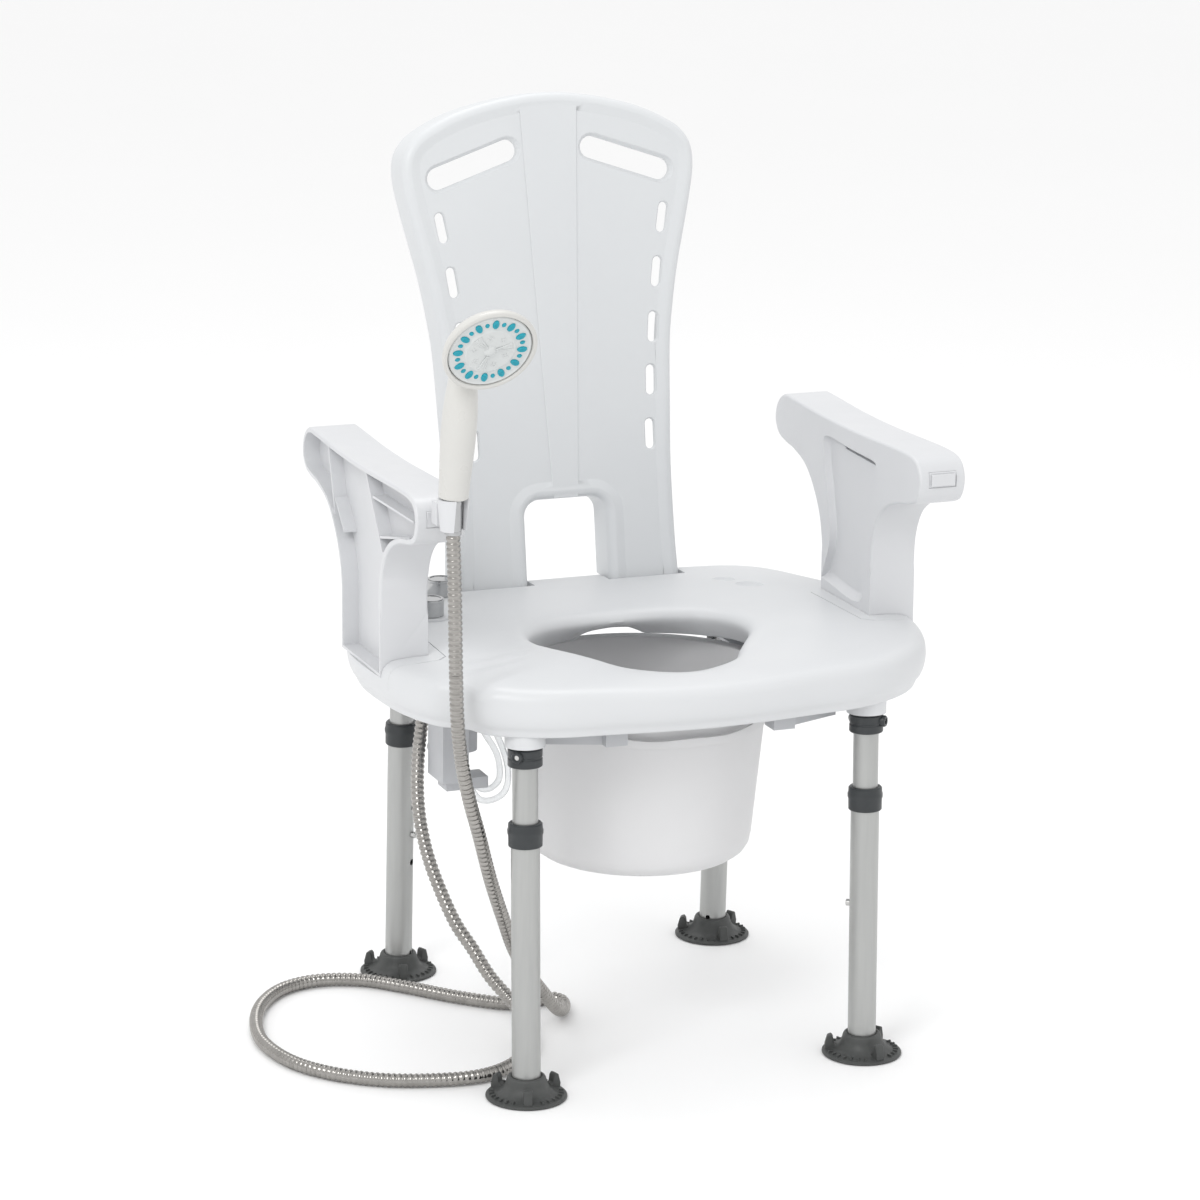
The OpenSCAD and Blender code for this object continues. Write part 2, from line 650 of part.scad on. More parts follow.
module bidet_tube_a() {
  color("lightblue") tube_along(tube_a_points, 2, 6.6, 8, [0, 1, 0.02]);
}

module bidet_tube_b() {
  color("lightblue") tube_along(tube_b_points, 2, 6.6, 8, [0, 1, 0.02]);
}

seat_shell();
backrest_panel();
armrest_left();
armrest_right();
arm_cap_left();
arm_cap_right();
handset_holder();
accessory_cover();
upper_tube(-1, -1);  // leg_upper_tube_fl
upper_tube(1, -1);  // leg_upper_tube_fr
upper_tube(-1, 1);  // leg_upper_tube_rl
upper_tube(1, 1);  // leg_upper_tube_rr
lower_tube(-1, -1);  // leg_lower_tube_fl
lower_tube(1, -1);  // leg_lower_tube_fr
lower_tube(-1, 1);  // leg_lower_tube_rl
lower_tube(1, 1);  // leg_lower_tube_rr
collar(-1, -1);  // leg_collar_fl
collar(1, -1);  // leg_collar_fr
collar(-1, 1);  // leg_collar_rl
collar(1, 1);  // leg_collar_rr
clip(-1, -1);  // leg_clip_fl
clip(1, -1);  // leg_clip_fr
clip(-1, 1);  // leg_clip_rl
clip(1, 1);  // leg_clip_rr
pin(-1, -1);  // leg_pin_fl
pin(1, -1);  // leg_pin_fr
pin(-1, 1);  // leg_pin_rl
pin(1, 1);  // leg_pin_rr
button(-1, -1);  // leg_button_fl
button(1, -1);  // leg_button_fr
button(-1, 1);  // leg_button_rl
button(1, 1);  // leg_button_rr
foot(-1, -1, 12);  // foot_fl
foot(1, -1, 36);  // foot_fr
foot(-1, 1, 20);  // foot_rl
foot(1, 1, 28);  // foot_rr
pail();
pail_bail();
pail_rail_left();
pail_rail_right();
rail_screws();
valve_body();
valve_plate();
knob(knob_front_at);  // knob_front
knob(knob_rear_at);  // knob_rear
bidet_nozzle();
bidet_tube_a();
bidet_tube_b();
hose_nut_valve();
hose_nut_handset();
hose_lower();
hose_upper();
handset_body();
spray_face();
spray_jets();
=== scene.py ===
import math

import bmesh
import bpy
from mathutils import Matrix, Vector


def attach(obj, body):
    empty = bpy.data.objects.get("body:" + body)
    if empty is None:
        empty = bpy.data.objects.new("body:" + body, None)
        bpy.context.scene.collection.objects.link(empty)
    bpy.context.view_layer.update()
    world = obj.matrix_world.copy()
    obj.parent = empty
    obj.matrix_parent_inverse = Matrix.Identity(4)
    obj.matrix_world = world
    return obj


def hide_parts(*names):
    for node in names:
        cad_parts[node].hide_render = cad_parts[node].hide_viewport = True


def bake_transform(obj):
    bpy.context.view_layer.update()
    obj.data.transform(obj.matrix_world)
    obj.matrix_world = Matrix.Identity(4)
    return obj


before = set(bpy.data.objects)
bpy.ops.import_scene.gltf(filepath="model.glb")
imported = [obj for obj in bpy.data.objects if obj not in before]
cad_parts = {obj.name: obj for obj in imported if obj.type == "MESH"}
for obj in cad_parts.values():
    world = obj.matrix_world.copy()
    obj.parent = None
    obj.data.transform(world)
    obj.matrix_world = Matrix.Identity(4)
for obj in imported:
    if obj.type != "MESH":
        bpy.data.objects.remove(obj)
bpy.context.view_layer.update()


# ---- small helpers for working by hand in code
def clearSelection():
    if bpy.context.object and bpy.context.object.mode != "OBJECT":
        bpy.ops.object.mode_set(mode="OBJECT")
    bpy.ops.object.select_all(action="DESELECT")


def workOn(piece):
    clearSelection()
    piece.select_set(True)
    bpy.context.view_layer.objects.active = piece


def openEdit(piece):
    workOn(piece)
    bpy.ops.object.mode_set(mode="EDIT")


def closeEdit(piece, tidy=True):
    if tidy:
        bpy.ops.mesh.select_all(action="SELECT")
        bpy.ops.mesh.remove_doubles(threshold=0.00002)
        bpy.ops.mesh.normals_make_consistent(inside=False)
        if bmesh.from_edit_mesh(piece.data).calc_volume(signed=True) < 0:
            bpy.ops.mesh.flip_normals()
    bpy.ops.object.mode_set(mode="OBJECT")
    return piece


def pick(piece, kind, test):  # selects the faces, edges or verts that pass the test
    bpy.ops.mesh.select_mode(type=kind)
    bpy.ops.mesh.select_all(action="DESELECT")
    mesh = bmesh.from_edit_mesh(piece.data)
    items = {"FACE": mesh.faces, "EDGE": mesh.edges, "VERT": mesh.verts}[kind]
    for item in items:
        if test(item):
            item.select_set(True)
    mesh.select_flush_mode()
    bmesh.update_edit_mesh(piece.data)


def applyAll(piece):
    workOn(piece)
    for modifier in list(piece.modifiers):
        bpy.ops.object.modifier_apply(modifier=modifier.name)


def softenEdges(piece, width, segments=3, angle=35, smoothAngle=32):
    bevel = piece.modifiers.new("softEdges", "BEVEL")
    bevel.width, bevel.segments = width, segments
    bevel.limit_method, bevel.angle_limit = "ANGLE", math.radians(angle)
    bevel.miter_outer = "MITER_ARC"
    applyAll(piece)
    smoothShade(piece, smoothAngle)


def smoothShade(piece, angle=32, weighted=True):
    workOn(piece)
    bpy.ops.object.shade_smooth_by_angle(angle=math.radians(angle))
    if weighted:
        even = piece.modifiers.new("evenNormals", "WEIGHTED_NORMAL")
        even.keep_sharp = True
        applyAll(piece)


def carve(piece, tools, how="DIFFERENCE"):  # cuts or joins other solids, then removes them
    for tool in tools:
        cut = piece.modifiers.new("carve", "BOOLEAN")
        cut.operation, cut.solver, cut.object = how, "MANIFOLD", tool
        applyAll(piece)
        bpy.data.objects.remove(tool)
    return piece


def block(name, low, high, turn=None):  # a box from its two corners, in millimetres
    clearSelection()
    bpy.ops.mesh.primitive_cube_add(size=1, location=(0, 0, 0))
    piece = bpy.context.object
    piece.name = name
    for vertex in piece.data.vertices:
        vertex.co = [(low[k] if vertex.co[k] < 0 else high[k]) / 1000 for k in range(3)]
    if turn is not None:
        piece.data.transform(turn)
    return piece


def rod(name, radius, low, high, turn=None, sides=32, topRadius=None):  # along z, millimetres
    clearSelection()
    bpy.ops.mesh.primitive_cylinder_add(vertices=sides, radius=radius / 1000, depth=1)
    piece = bpy.context.object
    piece.name = name
    for vertex in piece.data.vertices:
        top = vertex.co.z > 0
        vertex.co.z = (high if top else low) / 1000
        if top and topRadius is not None:
            vertex.co.x *= topRadius / radius
            vertex.co.y *= topRadius / radius
    if turn is not None:
        piece.data.transform(turn)
    return piece


def outlineBlock(name, outline, depth, turn=None):  # a flat outline in mm, extruded along z
    clearSelection()
    bpy.ops.mesh.primitive_circle_add(vertices=len(outline), radius=0.1, fill_type="NGON")
    piece = bpy.context.object
    piece.name = name
    for vertex, point in zip(piece.data.vertices, outline):
        vertex.co = (point[0] / 1000, point[1] / 1000, 0)
    openEdit(piece)
    bpy.ops.mesh.select_all(action="SELECT")
    bpy.ops.mesh.extrude_region_move(TRANSFORM_OT_translate={"value": (0, 0, depth / 1000)})
    closeEdit(piece)
    if turn is not None:
        piece.data.transform(turn)
    return piece


def lofted(name, sections, caps=True, ring=False):  # sections in mm, each with as many points
    clearSelection()
    bpy.ops.mesh.primitive_circle_add(vertices=len(sections[0]), radius=0.1)
    piece = bpy.context.object
    piece.name = name
    for vertex, point in zip(piece.data.vertices, sections[0]):
        vertex.co = Vector(point) / 1000
    openEdit(piece)
    bpy.ops.mesh.select_mode(type="VERT")
    bpy.ops.mesh.select_all(action="SELECT")
    if caps:
        bpy.ops.mesh.edge_face_add()
    mesh = bmesh.from_edit_mesh(piece.data)
    mesh.verts.ensure_lookup_table()
    edge = list(mesh.verts)
    pending = sections[1:] + ([sections[0]] if ring else [])
    for section in pending:
        made = [mesh.verts.new(Vector(point) / 1000) for point in section]
        for k in range(len(made)):
            n = (k + 1) % len(made)
            mesh.faces.new((edge[k], edge[n], made[n], made[k]))
        edge = made
    if caps:
        mesh.faces.new(list(reversed(edge)))
    bmesh.update_edit_mesh(piece.data)
    return closeEdit(piece)


def spun(name, profile, steps=64, turn=None, closed=False):  # (radius, height) points in mm
    clearSelection()
    bpy.ops.mesh.primitive_circle_add(vertices=len(profile), radius=0.1)
    piece = bpy.context.object
    piece.name = name
    for vertex, point in zip(piece.data.vertices, profile):
        vertex.co = (point[0] / 1000, 0, point[1] / 1000)
    openEdit(piece)
    if not closed:  # the line that joins the two ends on the axis goes
        last = len(profile) - 1
        bpy.ops.mesh.select_mode(type="EDGE")
        pick(piece, "EDGE", lambda e: {v.index for v in e.verts} == {0, last})
        bpy.ops.mesh.delete(type="EDGE")
    bpy.ops.mesh.select_all(action="SELECT")
    bpy.ops.mesh.spin(steps=steps, angle=2 * math.pi, center=(0, 0, 0), axis=(0, 0, 1))
    closeEdit(piece)
    if turn is not None:
        piece.data.transform(turn)
    return piece


def capsule(a, b, radius, rounds=10):  # outline of a slot with round ends
    direction = math.atan2(b[1] - a[1], b[0] - a[0])
    points = []
    for centre, start in ((b, -math.pi / 2), (a, math.pi / 2)):
        for k in range(rounds + 1):
            angle = direction + start + math.pi * k / rounds
            points.append((centre[0] + radius * math.cos(angle), centre[1] + radius * math.sin(angle)))
    return points


def smoothCurve(points, steps):  # a curve through all points
    made = []
    for i in range(len(points) - 1):
        b, c = Vector(points[i]), Vector(points[i + 1])
        a = Vector(points[i - 1]) if i else 2 * b - c
        d = Vector(points[i + 2]) if i + 2 < len(points) else 2 * c - b
        for k in range(steps):
            t = k / steps
            made.append(b + 0.5 * t * (c - a + t * (2 * a - 5 * b + 4 * c - d + t * (3 * (b - c) + d - a))))
    made.append(Vector(points[-1]))
    return made


def join(pieces, name):
    clearSelection()
    for piece in pieces:
        piece.select_set(True)
    bpy.context.view_layer.objects.active = pieces[0]
    bpy.ops.object.join()
    pieces[0].name = name
    return pieces[0]


def copyOf(piece, name, turn=None):
    made = piece.copy()
    made.data = piece.data.copy()
    made.name = name
    bpy.context.scene.collection.objects.link(made)
    if turn is not None:
        made.data.transform(turn)
        if turn.determinant() < 0:
            made.data.flip_normals()
    return made


def settle(piece, body, material, nodes=()):  # finish, body and the nodes it stands for
    piece.data.materials.clear()
    piece.data.materials.append(material)
    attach(piece, body)
    if nodes:
        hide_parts(*nodes)
    return piece


def moveTo(x, y, z):
    return Matrix.Translation((x / 1000, y / 1000, z / 1000))


def turnBy(degrees, axis):
    return Matrix.Rotation(math.radians(degrees), 4, axis)


mirrorX = Matrix.Scale(-1, 4, (1, 0, 0))


# ---- finishes
def finish(name, base, second, rough, metallic=0.0, clouds=5.0, grain=900.0, depth=0.00006,
           strength=0.25, stretch=(1, 1, 1), coat=0.0, ior=1.48, patch=0.35):
    material = bpy.data.materials.new(name)
    material.use_nodes = True
    nodes, links = material.node_tree.nodes, material.node_tree.links
    shader = nodes["Principled BSDF"]
    shader.inputs["Metallic"].default_value = metallic
    shader.inputs["IOR"].default_value = ior
    shader.inputs["Coat Weight"].default_value = coat
    shader.inputs["Coat Roughness"].default_value = 0.2
    place = nodes.new("ShaderNodeTexCoord")
    scaling = nodes.new("ShaderNodeMapping")
    scaling.inputs["Scale"].default_value = stretch
    links.new(place.outputs["Object"], scaling.inputs["Vector"])
    cloud = nodes.new("ShaderNodeTexNoise")
    cloud.inputs["Scale"].default_value = clouds
    cloud.inputs["Detail"].default_value = 5.0
    cloud.inputs["Roughness"].default_value = 0.6
    links.new(scaling.outputs["Vector"], cloud.inputs["Vector"])
    ramp = nodes.new("ShaderNodeValToRGB")
    ramp.color_ramp.elements[0].position = 0.5 - patch
    ramp.color_ramp.elements[0].color = (*base, 1)
    ramp.color_ramp.elements[1].position = 0.5 + patch
    ramp.color_ramp.elements[1].color = (*second, 1)
    links.new(cloud.outputs["Fac"], ramp.inputs["Fac"])
    links.new(ramp.outputs["Color"], shader.inputs["Base Color"])
    smudge = nodes.new("ShaderNodeTexNoise")
    smudge.inputs["Scale"].default_value = clouds * 3.7
    smudge.inputs["Detail"].default_value = 4.0
    links.new(scaling.outputs["Vector"], smudge.inputs["Vector"])
    roughness = nodes.new("ShaderNodeMapRange")
    roughness.inputs["From Min"].default_value = 0.3
    roughness.inputs["From Max"].default_value = 0.7
    roughness.inputs["To Min"].default_value = rough[0]
    roughness.inputs["To Max"].default_value = rough[1]
    links.new(smudge.outputs["Fac"], roughness.inputs["Value"])
    links.new(roughness.outputs["Result"], shader.inputs["Roughness"])
    fine = nodes.new("ShaderNodeTexNoise")
    fine.inputs["Scale"].default_value = grain
    fine.inputs["Detail"].default_value = 3.0
    links.new(scaling.outputs["Vector"], fine.inputs["Vector"])
    bump = nodes.new("ShaderNodeBump")
    bump.inputs["Strength"].default_value = strength
    bump.inputs["Distance"].default_value = depth
    links.new(fine.outputs["Fac"], bump.inputs["Height"])
    links.new(bump.outputs["Normal"], shader.inputs["Normal"])
    return material


shellWhite = finish("mouldedShellWhite", (0.60, 0.61, 0.625), (0.635, 0.645, 0.655), (0.34, 0.44),
                    clouds=4.0, grain=1400.0)
panelWhite = finish("mouldedPanelWhite", (0.60, 0.615, 0.63), (0.635, 0.65, 0.66), (0.34, 0.45),
                    clouds=5.0, grain=1400.0)
armWhite = finish("mouldedArmWhite", (0.585, 0.595, 0.61), (0.625, 0.63, 0.645), (0.33, 0.45),
                  clouds=6.0, grain=1300.0)
tubeAluminium = finish("satinTube", (0.40, 0.405, 0.40), (0.46, 0.465, 0.455), (0.34, 0.45),
                       metallic=0.75, clouds=14.0, grain=240.0, depth=0.00004, strength=0.35,
                       stretch=(9, 9, 0.5))
darkPlastic = finish("charcoalPlastic", (0.022, 0.026, 0.028), (0.035, 0.039, 0.042), (0.30, 0.46),
                     clouds=30.0, grain=1600.0)
footRubber = finish("greyFootRubber", (0.042, 0.045, 0.044), (0.075, 0.078, 0.076), (0.42, 0.62),
                    clouds=40.0, grain=700.0, depth=0.00015, strength=0.5)
pinSteel = finish("dullPinSteel", (0.5, 0.5, 0.49), (0.62, 0.62, 0.61), (0.22, 0.4), metallic=1.0,
                  clouds=60.0, grain=900.0)
chrome = finish("brightChrome", (0.36, 0.365, 0.37), (0.50, 0.505, 0.51), (0.05, 0.14), metallic=1.0,
                clouds=40.0, grain=600.0, depth=0.00002, strength=0.15)
hoseSteel = finish("interlockedHoseSteel", (0.29, 0.28, 0.265), (0.42, 0.405, 0.385), (0.14, 0.28),
                   metallic=1.0, clouds=120.0, grain=1500.0, depth=0.00003, strength=0.3)
pailWhite = finish("softPailWhite", (0.65, 0.65, 0.66), (0.69, 0.69, 0.695), (0.40, 0.52),
                   clouds=7.0, grain=1000.0)
railGrey = finish("railPaleGrey", (0.46, 0.47, 0.49), (0.52, 0.53, 0.55), (0.35, 0.5),
                  clouds=16.0, grain=1200.0)
handsetWhite = finish("warmHandsetWhite", (0.56, 0.555, 0.535), (0.60, 0.595, 0.57), (0.26, 0.36),
                      clouds=10.0, grain=900.0, depth=0.00001, strength=0.1, coat=0.1)
facePale = finish("sprayFacePale", (0.55, 0.57, 0.57), (0.61, 0.625, 0.62), (0.25, 0.36),
                  clouds=25.0, grain=1500.0)
jetTeal = finish("jetTealRubber", (0.003, 0.26, 0.34), (0.006, 0.34, 0.43), (0.3, 0.45),
                 clouds=160.0, grain=2500.0)
nozzleGrey = finish("nozzleGrey", (0.20, 0.205, 0.21), (0.26, 0.265, 0.27), (0.35, 0.5),
                    clouds=60.0, grain=1400.0)


def clearFinish(name):  # milky clear water tube
    material = finish(name, (0.86, 0.88, 0.89), (0.93, 0.94, 0.95), (0.10, 0.22), clouds=60.0,
                      grain=900.0, ior=1.36)
    material.node_tree.nodes["Principled BSDF"].inputs["Transmission Weight"].default_value = 0.8
    return material


clearTube = clearFinish("clearWaterTube")
print("finishes ready")


# ---- camera, floor and lights
cameraFit = {"place": (-1.57766, -3.86212, 1.53070), "turn": -21.7928, "pitch": 14.6146,
             "roll": 0.785, "lens": 126.913}


def setCamera():
    turn, pitch = math.radians(cameraFit["turn"]), math.radians(cameraFit["pitch"])
    roll = math.radians(cameraFit["roll"])
    back = Vector((math.sin(turn) * math.cos(pitch), -math.cos(turn) * math.cos(pitch), math.sin(pitch)))
    right = Vector((math.cos(turn), math.sin(turn), 0))
    up = back.cross(right)
    rolledRight = right * math.cos(roll) + up * math.sin(roll)
    rolledUp = up * math.cos(roll) - right * math.sin(roll)
    view = bpy.data.cameras.new("chairCamera")
    view.lens, view.sensor_width = cameraFit["lens"], 36
    seer = bpy.data.objects.new("chairCamera", view)
    bpy.context.scene.collection.objects.link(seer)
    seer.matrix_world = Matrix((
        (rolledRight.x, rolledUp.x, back.x, cameraFit["place"][0]),
        (rolledRight.y, rolledUp.y, back.y, cameraFit["place"][1]),
        (rolledRight.z, rolledUp.z, back.z, cameraFit["place"][2]), (0, 0, 0, 1)))
    bpy.context.scene.camera = seer


def setStage():
    clearSelection()
    bpy.ops.mesh.primitive_plane_add(size=24, location=(0, 0, -0.0005))
    floor = bpy.context.object
    floor.name = "paleFloor"
    paint = finish("paleFloorPaint", (0.95, 0.95, 0.95), (0.96, 0.96, 0.96), (0.7, 0.9), clouds=1.0,
                   grain=200.0)
    floor.data.materials.append(paint)


lightSpecs = [  # name, place, aim, size, power
    ("keySoftbox", (-2.0, -1.8, 2.6), (0, 0, 0.5), 1.2, 34),
    ("fillSoftbox", (2.6, -1.8, 1.8), (0, 0, 0.5), 2.2, 5),
    ("topSoftbox", (0.2, 0.9, 3.0), (0, 0, 0.4), 1.4, 16),
]


def setLights():
    for name, place, aim, size, power in lightSpecs:
        lamp = bpy.data.lights.new(name, "AREA")
        lamp.shape, lamp.size, lamp.energy = "SQUARE", size, power
        holder = bpy.data.objects.new(name, lamp)
        bpy.context.scene.collection.objects.link(holder)
        holder.location = place
        holder.rotation_euler = (Vector(aim) - Vector(place)).to_track_quat("-Z", "Y").to_euler()
    world = bpy.data.worlds.new("paleSurround")
    world.use_nodes = True
    world.node_tree.nodes["Background"].inputs["Color"].default_value = (1, 1, 1, 1)
    world.node_tree.nodes["Background"].inputs["Strength"].default_value = 0.98
    bpy.context.scene.world = world
    bpy.context.scene.view_settings.view_transform = "Standard"


setCamera()
setStage()
setLights()
print("camera, floor and lights ready")

# ---- the shower hose and the two water tubes
hoseShape = {"diameter": 14.0, "pitch": 5.6, "groove": 0.86, "sides": 18}
hoseTopPoints = [(-264, -200, 578.5), (-262.5, -199.3, 545), (-261, -198.3, 500),
                 (-260, -197, 470), (-259, -196, 440.4)]
hosePoints = [
    (-259, -196, 440), (-256, -192, 395), (-249, -185, 350), (-237, -173, 308), (-220, -157, 262),
    (-201, -138, 209), (-180, -118, 160), (-160, -97, 118), (-137, -75, 84), (-110, -50, 50),
    (-84, -22, 20), (-66, 6, 8), (-58, 30, 7), (-68, 44, 7), (-90, 42, 7), (-119, 46, 7),
    (-158, 80, 7), (-196, 124, 7), (-232, 160, 7), (-276, 176, 7), (-318, 166, 7), (-352, 132, 7),
    (-376, 82, 7), (-388, 20, 7), (-378, -42, 7), (-350, -88, 7), (-308, -122, 7), (-260, -140, 7),
    (-215, -146, 7.5), (-178, -132, 8), (-150, -106, 11), (-134, -76, 16), (-130, -48, 26),
    (-139, -24, 40), (-152, -5, 58), (-165, 12, 84), (-180, 28, 112), (-196, 48, 161),
    (-204, 59, 202), (-206, 66, 240), (-203, 72, 280), (-199, 75, 306), (-197, 75, 326)]
tubePointsA = [
    (-152, 40, 249), (-144, 38, 245), (-134, 38, 247), (-127, 37, 258), (-129, 41, 281),
    (-140, 52, 304), (-148, 67, 330), (-157, 73, 353), (-157.5, 86, 376), (-158, 106, 389),
    (-154, 124, 396.5), (-132, 138, 400), (-80, 150, 401), (-40, 149, 400), (-9, 147, 398)]
tubePointsB = [
    (-160, 32, 249), (-152, 29, 238), (-140, 28, 236), (-129, 23, 243), (-125.5, 17, 258),
    (-127, 17, 280), (-130, 38, 302), (-134, 68, 320), (-150, 80, 340), (-158, 90, 358),
    (-158, 104, 373), (-157, 117, 383), (-150, 129, 389), (-133, 134, 391), (-110, 140, 392),
    (-70, 139, 392), (-9, 137, 392)]


def lengthOf(path):
    return sum((b - a).length for a, b in zip(path, path[1:]))


def evenly(path, step):  # the same path with points an even step apart
    whole = lengthOf(path)
    count = max(2, round(whole / step))
    made, passed, k = [path[0].copy()], 0.0, 0
    for i in range(1, count):
        goal = whole * i / count
        while passed + (path[k + 1] - path[k]).length < goal:
            passed += (path[k + 1] - path[k]).length
            k += 1
        span = (path[k + 1] - path[k]).length
        made.append(path[k].lerp(path[k + 1], (goal - passed) / span))
    return made + [path[-1].copy()]


def tubeAlong(name, path, radii, sides):  # radii repeat from one point of the path to the next
    points, faces = [], []
    side = Vector((0, 1, 0.02)).normalized()
    for i, centre in enumerate(path):
        ahead = (path[min(i + 1, len(path) - 1)] - path[max(i - 1, 0)]).normalized()
        side = (side - ahead * side.dot(ahead)).normalized()
        other = ahead.cross(side)
        radius = radii[i % len(radii)]
        for k in range(sides):
            angle = 2 * math.pi * k / sides
            points.append((centre + radius * (side * math.cos(angle) + other * math.sin(angle))) / 1000)
    for i in range(len(path) - 1):
        for k in range(sides):
            a, b = i * sides + k, i * sides + (k + 1) % sides
            faces.append((a, b, b + sides, a + sides))
    faces.append([sides - 1 - k for k in range(sides)])
    faces.append([(len(path) - 1) * sides + k for k in range(sides)])
    mesh = bpy.data.meshes.new(name)
    mesh.from_pydata([tuple(p) for p in points], [], faces)
    mesh.validate()
    piece = bpy.data.objects.new(name, mesh)
    bpy.context.scene.collection.objects.link(piece)
    openEdit(piece)
    closeEdit(piece)
    smoothShade(piece, 60, weighted=False)
    return piece


def makeHose(name, points, steps):
    outer = hoseShape["diameter"] / 2
    dip = outer * hoseShape["groove"]
    path = evenly(smoothCurve(points, steps), hoseShape["pitch"] / 6)
    radii = [dip, dip * 1.01, outer * 0.97, outer, outer, outer * 0.95]
    return tubeAlong(name, path, radii, hoseShape["sides"]), path


hoseLower, hoseLowerPath = makeHose("hoseLower", hosePoints, 24)
hoseUpper, hoseUpperPath = makeHose("hoseUpper", hoseTopPoints, 24)
for hose, node in ((hoseLower, "hose_lower"), (hoseUpper, "hose_upper")):
    hose.data.materials.append(hoseSteel)
    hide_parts(node)
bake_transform(hoseLower)
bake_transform(hoseUpper)

for name, points, node in (("waterTubeA", tubePointsA, "bidet_tube_a"),
                           ("waterTubeB", tubePointsB, "bidet_tube_b")):
    path = evenly(smoothCurve(points, 12), 2.5)
    tube = settle(tubeAlong(name, path, [3.3], 16), "frame", clearTube, [node])
    print(name, "length", round(lengthOf(path) / 1000, 3))

# ---- seat
seatShape = {
    "middleY": -30, "top": 423, "skirtBottom": 371, "wall": 6, "stations": 180, "notchAngle": 61.5,
    "hole": [122, 119, 116, 106, 104, 109, 114, 113, 103, 88, 75, 67, 64],
    "edge": [210, 214, 229, 261, 285, 291, 292, 298, 299, 306, 273, 244, 236]}


def radiusAt(values, angle):
    turn = (360 - angle if angle > 180 else angle) / 15
    i = min(int(turn), 11)
    b, c = values[i], values[i + 1]
    a = values[1] if i == 0 else values[i - 1]
    d = values[11] if i == 11 else values[i + 2]
    t = turn - i
    return b + 0.5 * t * (c - a + t * (2 * a - 5 * b + 4 * c - d + t * (3 * (b - c) + d - a)))


def seatProfile(angle):
    s = seatShape
    notch = 12 * math.exp(-((angle - s["notchAngle"]) / 3.6) ** 2)
    e = radiusAt(s["edge"], angle) - notch
    h = radiusAt(s["hole"], angle)
    fromRear = abs(angle - 180)
    raised = 16 * min(max(1 - (fromRear - 33) / 8, 0), 1)
    b = s["skirtBottom"] + raised
    drop = 9 * max(math.cos(math.radians(angle)), 0) ** 4
    flare = 8 + 28 * max(1 - fromRear / 60, 0)
    arch = 10 * max(1 - (fromRear / 24) ** 2, 0)
    u, w, m = s["top"], s["wall"], (e + h) / 2
    k = u - 33 + arch - drop / 3
    low = max(b + 4, u - 45)
    return [
        (e - 11, b), (e - 10, b + 1.2), (e - 8.2, b + 8), (e - 4, low + 4), (e - 1, u - 32),
        (e, u - 24), (e - 0.4, u - 15.5 - drop / 3), (e - 2.4, u - 9.4 - drop / 2),
        (e - 6.6, u - 5.0 - drop / 2), (e - 13, u - 2.5 - drop / 2),
        (e - 24, u - 1.0 - drop / 2), ((e * 0.6 + h * 0.4), u - drop / 2),
        ((e * 0.35 + h * 0.65), u - 0.2 - drop * 0.7), (h + 20, u - 1.4 - drop),
        (h + 12, u - 2.8 - drop), (h + 6, u - 5.4 - drop), (h + 2, u - 9.4 - drop),
        (h, u - 14.5 - drop * 0.9), (h + flare * 0.35, u - 22 - drop * 0.5),
        (h + flare, k + 0.6), (h + flare + 1, k), (h + flare + w, k), (h + flare + w + 1, k + 1),
        (h + flare * 0.5 + w + 2, u - 18 - drop), (h + flare * 0.4 + w + 8, u - 10 - drop),
        (m, u - 1 - w - drop / 2), (e - w - 18, u - 5 - w - drop / 2), (e - 4 - w, u - 18 - drop / 2),
        (e - 2 - w, u - 27), (e - 5 - w, low), (e - 9.5 - w, b + 1.2), (e - 11 - w, b)]


def valleyAt(angle, radius, k):  # the soft valley that runs from the notch towards the hole
    if not 7 <= k <= 16:
        return 0
    line = 58 + (264 - radius) / 132 * 21.6
    off = (angle - line) * math.pi / 180 * radius
    fade = min(max((radius - 112) / 90, 0), 1)
    groove = 5.0 * fade * math.exp(-(off / 6.5) ** 2)
    lobe = -1.3 * fade * math.exp(-((off + 16) / 15) ** 2)
    return groove + lobe


def makeSeat():
    s = seatShape
    turns = [360 * i / s["stations"] for i in range(s["stations"])]
    profiles = [seatProfile(t) for t in turns]
    sections = []
    for k in range(len(profiles[0])):
        section = []
        for turn, profile in zip(turns, profiles):
            radius, height = profile[k]
            a = math.radians(turn)
            height -= valleyAt(turn, radius, k)
            section.append((-radius * math.sin(a), s["middleY"] - radius * math.cos(a), height))
        sections.append(section)
    seat = lofted("seatShell", sections, caps=False, ring=True)
    smooth = seat.modifiers.new("smooth", "SUBSURF")
    smooth.levels = smooth.render_levels = 1
    applyAll(seat)
    return seat


def legPlace(sx, sy):
    return moveTo(sx * 182.5, sy * 194.6, 0) @ turnBy(sy * 2, "X")


corners = [("fl", -1, -1), ("fr", 1, -1), ("rl", -1, 1), ("rr", 1, 1)]
knobFront, knobRear = (-190, 74), (-153, 148)


